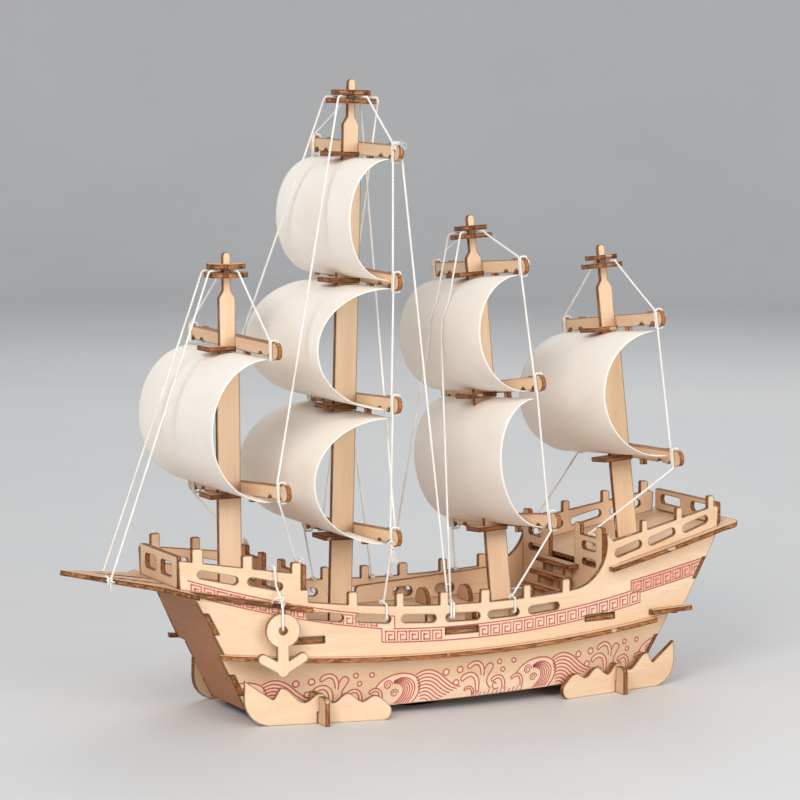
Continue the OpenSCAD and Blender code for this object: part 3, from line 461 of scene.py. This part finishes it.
def strand(points, radius, pitch=4.2, step=0.35, sides=12, lobes=3, closed=False):
    """Verts and faces of a laid string: its lobes wind round the route once every pitch."""
    path, at = resampled(points, step, closed)
    n = len(path)
    if closed:
        ahead = np.roll(path, -1, axis=0) - np.roll(path, 1, axis=0)
    else:
        ahead = np.gradient(path, axis=0)
    ahead /= np.linalg.norm(ahead, axis=1)[:, None]
    across = np.zeros_like(path)
    seed = np.cross(ahead[0], (0, 0, 1) if abs(ahead[0][2]) < 0.9 else (1, 0, 0))
    across[0] = seed / np.linalg.norm(seed)
    for i in range(1, n):
        v = across[i - 1] - ahead[i] * np.dot(across[i - 1], ahead[i])
        across[i] = v / np.linalg.norm(v)
    third = np.cross(ahead, across)
    turn = 2 * math.pi * at[:n] / pitch
    around = 2 * math.pi * np.arange(sides) / sides
    angle = turn[:, None] + around[None, :]
    size = radius * (1 - LAY_DEPTH + LAY_DEPTH * np.cos(lobes * around))[None, :] * np.ones((n, 1))
    if not closed:
        size[0] *= END_TAPER
        size[-1] *= END_TAPER
    ring = (path[:, None, :] + size[..., None] * (np.cos(angle)[..., None] * across[:, None, :]
                                                 + np.sin(angle)[..., None] * third[:, None, :]))
    verts = ring.reshape(-1, 3)
    i, j = np.meshgrid(np.arange(n if closed else n - 1), np.arange(sides), indexing="ij")
    a, b = i * sides + j, i * sides + (j + 1) % sides
    c, d = ((i + 1) % n) * sides + (j + 1) % sides, ((i + 1) % n) * sides + j
    faces = np.stack([a, b, c, d], axis=-1).reshape(-1, 4).tolist()
    if not closed:
        faces.append(list(range(sides - 1, -1, -1)))
        faces.append(list(range((n - 1) * sides, n * sides)))
    return verts, faces


class Bundle:
    """Several meshes gathered into one piece."""

    def __init__(self):
        self.verts, self.faces, self.count = [], [], 0

    def take(self, verts, faces):
        self.verts.append(np.asarray(verts, dtype=float))
        self.faces.extend([[v + self.count for v in f] for f in faces])
        self.count += len(verts)

    def piece(self, name, material, slot_name, **more):
        return make_piece(name, np.vstack(self.verts), self.faces, material, slot_name, **more)


# ---- sails ------------------------------------------------------------------------------

CLOTH = sail_cloth("sail_cloth")
SLIT, SAIL_T = 1.5, 0.3  # half the width of the slit that the mast passes through, and the cloth's thickness
SAIL_ROWS, SAIL_COLUMNS = 44, 26
LOCK_GAP, YARD_GAP, MAST_GAP = 0.7, 0.35, 0.55
SWELL, CURL, CURL_FROM, RIPPLE = 0.30, 0.35, 0.82, 0.12


def sail_profile(m, k):
    """A sail's middle height, half height and station behind the lock plates, in its mast's frame."""
    top = YARDS[m][k][0] + LOCK_LOW - LOCK_GAP
    low = YARDS[m][k + 1][0] + LOCK_LOW + PLY + LOCK_GAP
    return (top + low) / 2, (top - low) / 2, PLY + YARD_GAP - mast_half(k)


def make_sail(name, m, k, half, belly):
    """A stiff curved sheet from yard k to the one below it, slit at its top and foot for the mast."""
    middle, tall, back = sail_profile(m, k)
    mouth = math.asin((mast_half(k) + MAST_GAP - back) / belly)
    curve = sorted({round(math.pi * i / SAIL_ROWS, 5) for i in range(SAIL_ROWS + 1)}
                   | {round(mouth, 5), round(math.pi - mouth, 5)})
    side = [SLIT + (half - SLIT) * i / SAIL_COLUMNS for i in range(SAIL_COLUMNS + 1)]
    columns = [-y for y in reversed(side)] + side
    verts, faces = [], []
    for a in curve:
        for y in columns:
            # the cloth is stiff: it swells a little between the strings and curls at its free edges
            swell = SWELL * math.sin(a) ** 2 * noise.noise(Vector((y * 0.035, a * 1.1, m * 3.1 + k * 1.7)))
            curl = -CURL * math.sin(a) ** 2 * max(0.0, abs(y) / half - CURL_FROM) / (1 - CURL_FROM)
            reach = belly + swell + curl
            ripple = RIPPLE * math.sin(a) * noise.noise(Vector((y * 0.11, 7.0 + m, k * 2.3)))
            verts.append(mast_pt(m, (back + reach * math.sin(a) + ripple, y, middle + tall * math.cos(a))))
    wide = len(columns)
    gap = len(side) - 1
    for i in range(len(curve) - 1):
        for j in range(wide - 1):
            angle = (curve[i] + curve[i + 1]) / 2
            if j != gap or mouth - 0.001 <= angle <= math.pi - mouth + 0.001:
                a = i * wide + j
                faces.append((a, a + 1, a + wide + 1, a + wide))
    piece = make_piece(name + "_cloth", verts, faces, CLOTH, "sail_card")
    thick = piece.modifiers.new("thickness", "SOLIDIFY")
    thick.thickness = SAIL_T * MM
    thick.offset = 0.0
    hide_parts(name)


for sail_name, mast, yard, half_width, swell_out in SAILS:
    make_sail(sail_name, mast, yard, half_width, swell_out)

# ---- rigging ------------------------------------------------------------------------------

STRING = cotton("cotton_string", linear(250, 248, 244), linear(226, 220, 210))
FRAY = cotton("cotton_fray", linear(246, 243, 238), linear(214, 206, 196))


def nest_pts(m, angle):
    """Out from the neck between the two nest plates and over the rim of the lower one."""
    c, s = math.cos(math.radians(angle)), math.sin(math.radians(angle))
    height = MASTS[m][2] - NEST_DROP - PLY - NEST_GAP / 2
    return [mast_pt(m, (r * c, r * s, height + drop))
            for r, drop in ((3.4, 0), (NEST_R[m] + 0.1, 0), (NEST_R[m] + 0.9, -0.9))]


def turn_pts(m, k, y, s):
    """One turn round the arm of a yard on side s."""
    return [yard_pt(m, k, (a * CLEAR + (PLY if a > 0 else 0), s * (y + b), c * (YARD_H / 2 + CLEAR)))
            for a, b, c in ((1, 0, 1), (1, 0, -1), (-1, 0.2, -1), (-1, 0.6, 1), (1, 1.1, 1), (1, 1.2, -1))]


def yard_run(m, s):
    """Down mast m from yard to yard, with a turn round the arm of each."""
    return [p for k in range(len(TIES[m])) for p in turn_pts(m, k, TIES[m][k], s)]


def rail_tie(x, s):
    """Over the mid rail at a station and back in through the slot below."""
    return [Vector((x, s * (side_y(x) - PLY / 2 + a * (PLY / 2 + CLEAR)), rail_top(x) + b))
            for a, b in ((-1, 0.65), (1, 0.65), (1, -5.6), (-1.4, -5.6))]


def wall_tie(x, y, z):
    """Over a wall that stands across the ship, and down behind it."""
    return [Vector((x + a, y, z + b))
            for a, b in ((CLEAR, 0.65), (-PLY - CLEAR, 0.65), (-PLY - CLEAR, -4.6))]


def fore_z(x):
    """The height of the bow platform's under face at a station."""
    return TIP_Z + (x - TIP_X) * math.tan(math.radians(FORE_SLOPE))


def bow_half(x):
    """Half the width of the bow platform at a station."""
    along = (TIP_X - x) / math.cos(math.radians(FORE_SLOPE)) - TIP_FLAT
    return TIP_HALF + along * BOW_WIDENS / BOW_RUN


def bow_tie(s, x):
    """Over the edge of the bow platform and back beneath it."""
    return [Vector((x, s * (bow_half(x) + a), fore_z(x) + b))
            for a, b in ((0.9, PLY + 0.4), (0.9, -0.75), (-3.2, -0.75))]


def on_top_sail(y):
    """Where a string lies on the swell of the mizzen's top sail."""
    _, m, k, _, belly = SAILS[4]
    middle, tall, back = sail_profile(m, k)
    return [mast_pt(m, (back + 1.4 + belly * math.sqrt(1 - ((z - middle) / tall) ** 2), y, z))
            for z in (144, 136, 128)]


def rigging_routes():
    """Every string's route, under the mast that it hangs from."""
    routes = {name: [] for name in SHIP}
    for s in (-1, 1):
        routes["fore"] += [
            nest_pts(0, s * 100) + turn_pts(0, 0, TIES[0][0], s),
            nest_pts(0, s * 22) + bow_tie(s, BOW_TIES[s])]
        routes["main"] += [
            nest_pts(1, s * 105) + yard_run(1, s) + rail_tie(MAIN_RAIL_X, s),
            nest_pts(1, s * 38) + turn_pts(0, 1, 46, s) + wall_tie(RAIL_STEP_X - 0.2, s * STEP_TIE_Y, 66.4),
            [yard_pt(1, 0, (-CLEAR, s * 41.8, z)) for z in (1.2, -1.6)] + rail_tie(AFTER_RAIL_X, s),
            nest_pts(1, -135 if s > 0 else 155) + [yard_pt(1, 3, (-PLY - 0.7, s * 36.5, 2))]]
        routes["mizzen"] += [
            nest_pts(2, s * 100) + yard_run(2, s) + rail_tie(MIZZEN_RAIL_X[s], s),
            nest_pts(2, s * 35) + on_top_sail(s * 6) + rail_tie(STAY_RAIL_X[s], s)]
        routes["jigger"] += [
            nest_pts(3, s * 100) + yard_run(3, s) + wall_tie(POOP_WALL_X, s * POOP_TIE_Y, 68)]
    # the anchor's string, from inside the rail, over it, back through the slot and out to the knot
    routes["fore"].append([Vector(p) for p in ((73.4, 28.2, 58), (73.4, 28.4, 66.4), (73.2, 32.9, 66.4),
                                               (72.6, 33.0, 58.6), (71.8, 35.6, 54.4), (71.8, 36.4, 53))])
    return routes


THREAD_R, THREAD_PITCH, THREAD_STEP, THREAD_SIDES, TURN_R = 0.42, 3.6, 0.32, 9, 0.48
FIBRE_R, FIBRE_PITCH, FIBRE_STEP, FIBRE_SIDES = 0.09, 8.0, 0.5, 5
KNOT_POINTS, TAIL_POINTS, FIBRE_POINTS = 48, 8, 7


def knot_curve(centre, size, lean):
    """A tight closed loop that crosses itself three times, as a pulled knot does."""
    out = []
    for i in range(KNOT_POINTS):
        t = 2 * math.pi * i / KNOT_POINTS
        p = Vector((math.sin(t) + 2 * math.sin(2 * t), math.cos(t) - 2 * math.cos(2 * t),
                    -1.5 * math.sin(3 * t)))
        out.append(Vector(centre) + about_x(lean, about_y(60 + lean, p * (size / 3))))
    return out


def add_knot(bundle, centre, size, lean):
    path = knot_curve(centre, size, lean)
    bundle.take(*strand(path, THREAD_R, THREAD_PITCH, THREAD_STEP, THREAD_SIDES, closed=True))


def add_tail(bundle, start, direction, length, rng):
    """A short free end of string that droops."""
    at, way = Vector(start), Vector(direction).normalized()
    points = [at.copy()]
    for _ in range(TAIL_POINTS):
        way = (way + Vector((rng.uniform(-0.16, 0.16), rng.uniform(-0.16, 0.16), -0.16))).normalized()
        at = at + way * (length / TAIL_POINTS)
        points.append(at.copy())
    bundle.take(*strand(points, THREAD_R, THREAD_PITCH, THREAD_STEP, THREAD_SIDES))
    return at, way


def add_fray(bundle, start, direction, count, length, rng, open_out=0.5):
    """Loose fibres that fan out of a cut end."""
    for _ in range(count):
        at = Vector(start)
        way = Vector(direction).normalized() + Vector([rng.uniform(-open_out, open_out) for _ in range(3)])
        way = way.normalized()
        bend = Vector([rng.uniform(-0.22, 0.22) for _ in range(3)]) + Vector((0, 0, -0.05))
        points = [at.copy()]
        for _ in range(FIBRE_POINTS):
            at = at + way * (length * rng.uniform(0.7, 1.1) / FIBRE_POINTS)
            way = (way + bend).normalized()
            points.append(at.copy())
        bundle.take(*strand(points, FIBRE_R, FIBRE_PITCH, FIBRE_STEP, FIBRE_SIDES, lobes=0))


rng = random.Random(7)
ROUTES = rigging_routes()
for ship_mast in SHIP:
    lines = Bundle()
    for route in ROUTES[ship_mast]:
        lines.take(*strand(rounded_route(route), STRING_D / 2))
    piece = lines.piece(ship_mast + "_strings", STRING, "cotton_string")
    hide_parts(ship_mast + "_rigging")

knots, frays = Bundle(), Bundle()
for m in range(4):
    for s in (-1, 1):
        for k, y in enumerate(TIES[m]):
            add_knot(knots, yard_pt(m, k, (-0.9, s * (y + 0.9), 1.2 - 0.5 * k)), 1.0, 20.0 * (m + k))
RAIL_KNOTS = [(MAIN_RAIL_X, 1), (MAIN_RAIL_X, -1), (AFTER_RAIL_X, 1), (AFTER_RAIL_X, -1)]
RAIL_KNOTS += [(ties[s], s) for ties in (MIZZEN_RAIL_X, STAY_RAIL_X) for s in (1, -1)]
for x, s in RAIL_KNOTS:
    add_knot(knots, (x, s * (side_y(x) - PLY - 1.5), rail_top(x) + 0.6), 1.1, 3.0 * x)
for s in (-1, 1):
    # a turn beside each bow stay, round the edge of the platform
    x = BOW_TIES[s]
    over = [(x + a, s * (bow_half(x) + b), fore_z(x) + c)
            for a, b, c in ((1.2, -3, PLY + 0.75), (1.2, 0.4, PLY + 0.8), (1.1, 0.4, -0.8), (1.0, -3, -0.8))]
    knots.take(*strand(rounded_route(over), TURN_R))
    add_knot(knots, (x + 0.3, s * (bow_half(x) + 1.0), fore_z(x) + 0.9), 1.5, 60.0 * s)
    end, way = add_tail(knots, (x + 0.5, s * (bow_half(x) + 1.3), fore_z(x)), (0.1, s * 0.3, -1), 1.6, rng)
    add_fray(frays, end, way, 10, 1.6, rng)
    add_knot(knots, (POOP_WALL_X - PLY - CLEAR, s * POOP_TIE_Y, 64.6), 1.2, 45.0)
    add_knot(knots, (RAIL_STEP_X - 1.2, s * STEP_TIE_Y, 67.6), 1.3, 10.0)
# the loose ends at the main and fore yards
corner = yard_pt(1, 0, (2.4, 42.0, 2.2))
add_knot(knots, corner, 1.5, 15.0)
end, way = add_tail(knots, corner, (0.3, 0.6, 0.9), 3.6, rng)
add_fray(frays, end, way, 16, 5.0, rng, 0.7)
corner = yard_pt(1, 3, (3.0, 44.6, -3.4))
add_knot(knots, corner, 1.9, 40.0)
for lean in ((0.4, 0.8, -0.6), (-0.5, 0.6, -0.9)):
    end, way = add_tail(knots, corner, lean, 4.5, rng)
    add_fray(frays, end, way, 12, 4.2, rng, 0.6)
corner = yard_pt(0, 1, (3.0, -46.5, 3.2))
add_knot(knots, corner, 1.4, 70.0)
knots.piece("rigging_knots", STRING, "cotton_string")
frays.piece("rigging_frays", FRAY, "cotton_string")

# ---- the anchor's loop, which swings on its knot ----------------------------------------

# the middle of the anchor's ring, its turn to lie along the side, and the loop from the knot through the ring
ANCHOR_AT, ANCHOR_TURN = Vector((71.2, 36.6, 40.6)), -9.9
LOOP = ((0.5, 0.3, 11.6), (0.4, 1.7, 8.6), (0.3, 1.7, 0.9), (0.2, 0.9, 0.1), (0, -0.9, 0.1),
        (-0.2, -1.7, 0.9), (-0.4, -1.7, 8.6), (-0.8, -0.3, 11.2))


def on_anchor(p):
    """A point given from the middle of the anchor's ring, in the ship's frame."""
    c, s = math.cos(math.radians(ANCHOR_TURN)), math.sin(math.radians(ANCHOR_TURN))
    return ANCHOR_AT + Vector((p[0] * c - p[1] * s, p[0] * s + p[1] * c, p[2]))


loop_route = rounded_route([on_anchor(p) for p in LOOP])
loop_piece = make_piece("anchor_loop", *strand(loop_route, STRING_D / 2), STRING, "cotton_string",
                        body="anchor_line")
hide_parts("anchor_line")
tie = Bundle()
add_knot(tie, (71.8, 36.6, 53.0), 1.35, 25.0)
end, way = add_tail(tie, (71.9, 36.9, 53.4), (0.55, 0.5, 1.0), 5.0, rng)
tie.piece("anchor_knot", STRING, "cotton_string")
wisps = Bundle()
add_fray(wisps, end, way, 8, 2.4, rng)
wisps.piece("anchor_knot_fray", FRAY, "cotton_string")

# ---- the printed border and waves -----------------------------------------------------------

INK = ink("border_ink", linear(178, 94, 88), linear(200, 130, 114), 0.45)
KEY_INK = ink("border_keys", linear(192, 122, 106), linear(212, 150, 128), 0.5)
TINT = ink("border_tint", linear(250, 206, 184), linear(247, 212, 184), 0.8)
DEEP = ink("border_deep", linear(236, 176, 156), linear(236, 184, 160), 0.7)
LINE_LIFT, TINT_LIFT = 0.05, 0.03  # lines stand just proud of the tint, and the tint of the wood


class Print:
    """Strokes and fills drawn in X and Z and laid on the outer face of one side."""

    def __init__(self, node, s):
        self.node, self.s = NODES[node], s
        self.lines, self.keys, self.fills, self.deeps = Bundle(), Bundle(), Bundle(), Bundle()

    def hit(self, x, z, lift):
        """The point of the outer face at x and z, or None where the wood is cut away."""
        start = Vector((x * MM, self.s * 0.2, z * MM))
        ok, at, normal, _ = self.node.ray_cast(start, Vector((0, -self.s, 0)))
        if not ok or normal.y * self.s < 0.7:
            return None
        return Vector(at) / MM + Vector((0, self.s * lift, 0))

    def strip(self, bundle, left, right, lift):
        """Quads between two rows of points, left out wherever the wood is cut away."""
        verts, faces = [], []
        rows = [(self.hit(*a, lift), self.hit(*b, lift)) for a, b in zip(left, right)]
        for (a, b), (c, d) in zip(rows, rows[1:]):
            if None not in (a, b, c, d):
                n = len(verts)
                verts += [a, b, d, c]
                faces.append((n, n + 1, n + 2, n + 3) if self.s > 0 else (n + 3, n + 2, n + 1, n))
        if verts:
            bundle.take(verts, faces)

    def stroke(self, points, width, step=0.35, key=False):
        """A line of even width through the points."""
        flat, _ = resampled([(x, z, 0.0) for x, z in points], step)
        way = np.gradient(flat[:, :2], axis=0)
        way /= np.linalg.norm(way, axis=1)[:, None] + 1e-12
        off = np.stack([-way[:, 1], way[:, 0]], axis=1) * width / 2
        bundle = self.keys if key else self.lines
        self.strip(bundle, (flat[:, :2] + off).tolist(), (flat[:, :2] - off).tolist(), LINE_LIFT)

    def fill(self, first, second, rows, deep=False):
        """A tint between two rows of points, the deeper of the two tints if deep."""
        first, second = np.array(first), np.array(second)
        for i in range(rows):
            self.strip(self.deeps if deep else self.fills, (first + (second - first) * i / rows).tolist(),
                       (first + (second - first) * (i + 1) / rows).tolist(), TINT_LIFT)

    def finish(self, name):
        for part, bundle, material in (("lines", self.lines, INK), ("keys", self.keys, KEY_INK),
                                       ("tint", self.fills, TINT), ("deep", self.deeps, DEEP)):
            if bundle.count:
                bundle.piece(name + "_" + part, material, "printed_plywood", smooth=False)


def steps(a, b, gap=0.8):
    """Evenly spaced values from a to b, about a gap apart."""
    count = max(2, int(abs(b - a) / gap))
    return [a + (b - a) * i / count for i in range(count + 1)]


def sweep(x, at, height, slope=0.0, bend=0.0):
    """The height at x of a slightly bent line, from its height, slope and bend at one station."""
    return height + slope * (x - at) + bend * (x - at) ** 2


# the border's three stretches, each with its ends and its lower and upper edge along the ship
BAND_H, BAND_GROWS, AFT_BAND_H = 5.6, 0.007, 6.2
FORE_EDGE, MID_FORE, MID_AFT, AFT_START, AFT_EDGE = 108.0, 26.8, -98.8, -94.0, -139.0
FORE_STEP = MID_FORE - BAND_H  # where the upper edge steps down


def fore_low(x):
    return sweep(x, at=27, height=38.0, slope=0.13, bend=0.0012)


def fore_high(x):
    return fore_low(x) + BAND_H


def mid_low(x):
    return sweep(x, at=-8, height=31.1, bend=0.00099)


def mid_high(x):
    return mid_low(x) + BAND_H + BAND_GROWS * max(0.0, -x)


def aft_high(x):
    return sweep(x, at=AFT_START, height=49.1, slope=-0.1615)


def aft_low(x):
    return aft_high(x) - AFT_BAND_H


KEY_PITCH, KEY_W, BORDER_W = 5.25, 0.74, 0.55
SLOT_FORE, SLOT_AFT = -1.2, -17.6  # no key is printed beside the slot between these stations
# one square spiral, as shares of the pitch and of the band's height
KEY = ((0.0, 0.13), (0.0, 0.80), (0.76, 0.80), (0.76, 0.17), (0.26, 0.17), (0.26, 0.55), (0.52, 0.55))


def keys(board, start, end, low, high):
    """A whole number of square spirals between two stations and two edges."""
    count = round((start - end) / KEY_PITCH)
    pitch = (start - end) / count
    for n in range(count):
        path = []
        for u, v in KEY:
            x = start - (n + u) * pitch
            path.append((x, low(x) + v * (high(x) - low(x))))
        for a, b in zip(path, path[1:]):
            run = Vector(b) - Vector(a)
            grow = run.normalized() * KEY_W / 2  # so that the corners close
            board.stroke([Vector(a) - grow, Vector(b) + grow], KEY_W, key=True)


def edge_line(curve, start, end):
    return [(x, curve(x)) for x in steps(start, end)]


def border(board):
    """The tinted band with its outline and its keys, which steps down and up again along the side."""
    for start, end, low, high in ((FORE_EDGE, FORE_STEP, fore_low, fore_high),
                                  (MID_FORE, MID_AFT, mid_low, mid_high),
                                  (AFT_START, AFT_EDGE, aft_low, aft_high)):
        board.fill(edge_line(low, start, end), edge_line(high, start, end), 4, deep=start == AFT_START)
    for line in (edge_line(fore_low, FORE_EDGE, MID_FORE) + [(MID_FORE, mid_low(MID_FORE))],
                 edge_line(fore_high, FORE_EDGE, FORE_STEP) + [(FORE_STEP, mid_high(FORE_STEP))],
                 edge_line(mid_high, FORE_STEP, AFT_START) + [(AFT_START, aft_high(AFT_START))],
                 edge_line(aft_high, AFT_START, AFT_EDGE),
                 edge_line(mid_low, MID_FORE, MID_AFT) + [(MID_AFT, aft_low(MID_AFT))],
                 edge_line(aft_low, MID_AFT, AFT_EDGE)):
        board.stroke(line, BORDER_W)
    keys(board, FORE_EDGE - 1.6, MID_FORE + 1.0, fore_low, fore_high)
    keys(board, MID_FORE - 1.6, SLOT_FORE, mid_low, mid_high)
    keys(board, SLOT_AFT, MID_AFT, mid_low, mid_high)
    keys(board, AFT_START - 1.2, AFT_EDGE, aft_low, aft_high)


WAVE_REPEAT, WAVE_START, WAVE_W, WAVE_STEP = 65.5, 61.1, 0.6, 0.4


def wave_rise(x):
    """The pattern climbs a little towards the stern, as the hull does."""
    return sweep(x, at=-4.4, height=0.0, slope=-0.0206, bend=0.000104)


def smooth(points, count=8):
    """A Catmull-Rom curve through a few points."""
    pts = [np.array(p, dtype=float) for p in points]
    pts = [2 * pts[0] - pts[1]] + pts + [2 * pts[-1] - pts[-2]]
    out = []
    for a, b, c, d in zip(pts, pts[1:], pts[2:], pts[3:]):
        for i in range(count):
            t = i / count
            out.append(0.5 * (2 * b + (c - a) * t + (2 * a - 5 * b + 4 * c - d) * t**2
                              + (3 * b - a - 3 * c + d) * t**3))
    return np.array(out + [pts[-2]])


def evenly(points, count):
    """The same number of points on any curve, so that two curves can be joined."""
    pts = np.array(points, dtype=float)
    along = np.concatenate([[0], np.cumsum(np.linalg.norm(np.diff(pts, axis=0), axis=1))])
    at = np.linspace(0, along[-1], count)
    return np.stack([np.interp(at, along, pts[:, i]) for i in range(2)], axis=1)


class Wave:
    """One repeat of the pattern; its points are given aft of its start and above the ground."""

    def __init__(self, board, start):
        self.board, self.start = board, start

    def at(self, points):
        pts = np.array(points, dtype=float)
        x = self.start - pts[:, 0]
        return np.stack([x, pts[:, 1] + wave_rise(x)], axis=1)

    def line(self, points, width=WAVE_W):
        self.board.stroke(self.at(points).tolist(), width, WAVE_STEP)

    def area(self, first, second, rows):
        self.board.fill(self.at(evenly(first, 40)), self.at(evenly(second, 40)), rows)

    def drop(self, u, z, r):
        """A tinted ring."""
        turn = np.linspace(0, 2 * math.pi, 25)
        ring = np.stack([u + r * np.cos(turn), z + r * np.sin(turn)], axis=1)
        self.area(ring, np.full_like(ring, (u, z)), 1)
        self.line(ring)

    def crest(self, u, z, r, tail):
        """A curling crest, from its rounded head over its back and down to its tail."""
        back = [(0.42, -0.62), (0.16, -0.78), (0.0, -0.52), (0.36, -0.14), (1.10, 0.0), (1.72, -0.39),
                (2.0, -1.1), (1.95, -1.1 - tail)]
        belly = [(0.42, -0.62), (0.72, -0.46), (1.12, -0.42), (1.44, -0.70), (1.60, -1.2),
                 (1.66, -1.1 - tail * 0.8)]
        outer, inner = (smooth([(u + a * r, z + b * r) for a, b in run]) for run in (back, belly))
        self.area(outer, inner, 3)
        self.line(outer)
        self.line(inner)

    def curl(self, u, z, r):
        """A small spiral inside a wave."""
        turn = np.linspace(0, 3.4 * math.pi, 34)
        reach = r * (1 - turn / (4.4 * math.pi))
        self.line(np.stack([u + reach * np.cos(turn), z + reach * np.sin(turn)], axis=1), 0.5)

    def draw(self):
        # the wave that runs off behind, under the others
        hump = smooth([(51.7, 16.6), (54.8, 18.0), (58.4, 18.1), (62.4, 16.3), (65.9, 13.2), (69.4, 10.6),
                       (72.5, 9.4)])
        root = np.array((55.0, 1.5))
        self.area(hump, root + (hump - root) * 0.2, 8)
        for i in range(9):
            self.line(root + (hump - root) * (1 - 0.092 * i))
        # the big wave, a pale rim round a dark crescent of close lines
        rim = smooth([(33.9, 12.2), (36.2, 14.9), (40.5, 17.1), (46.4, 17.8), (51.6, 16.0), (53.7, 12.0),
                      (52.6, 7.4), (49.8, 4.2)])
        inner = smooth([(42.0, 14.6), (44.6, 15.7), (47.6, 15.7), (50.4, 14.0), (51.5, 11.4), (50.6, 7.6),
                        (48.0, 4.2)])
        core = smooth([(42.0, 13.7), (43.8, 13.3), (45.2, 12.4), (46.0, 10.6), (45.4, 8.4), (43.6, 6.2),
                       (41.2, 4.4)])
        self.area(rim, core, 8)
        self.line(rim)
        inner, core = (evenly(run, 60) for run in (inner, core))
        for i in range(6):
            self.line(inner + (core - inner) * i / 5.5, 0.56)
        self.curl(39.4, 13.2, 2.1)
        self.curl(42.4, 9.4, 1.9)
        for u, z, r in ((0.0, 16.4, 1.35), (6.5, 16.9, 1.35), (4.9, 11.4, 1.25), (25.2, 18.4, 1.0),
                        (32.2, 18.2, 1.0), (27.0, 14.8, 0.95)):
            self.drop(u, z, r)
        for u, z, r, tail in ((10.0, 19.9, 4.0, 0.65), (7.1, 15.1, 4.35, 1.2), (8.8, 9.1, 2.3, 0.8),
                              (21.7, 12.5, 3.3, 0.9), (31.3, 12.1, 2.9, 1.1)):
            self.crest(u, z, r, tail)
        # the splash that leaps between the crests
        self.line(smooth([(18.2, 15.9), (19.4, 17.8), (20.9, 18.3), (22.3, 16.9), (21.2, 14.6), (19.8, 12.2),
                          (19.6, 9.6), (21.3, 7.0)]))
        self.line(smooth([(24.4, 8.6), (23.0, 9.6), (22.4, 7.8), (23.6, 6.4), (25.4, 6.8)]))
        # short strokes along the foot of the board
        for i in range(13):
            foot = 12.0 + 2.0 * i
            self.line([(foot, 4.1), (foot + 1.1, 6.3 + 0.5 * math.sin(i * 1.9))], 0.45)


def waves(board):
    for n in (-1, 0, 1, 2):
        Wave(board, WAVE_START - WAVE_REPEAT * n).draw()


for side_name, s in (("port", 1), ("starboard", -1)):
    upper = Print(side_name + "_upper_side", s)
    border(upper)
    upper.finish(side_name + "_border")
    lower = Print(side_name + "_lower_side", s)
    waves(lower)
    lower.finish(side_name + "_waves")
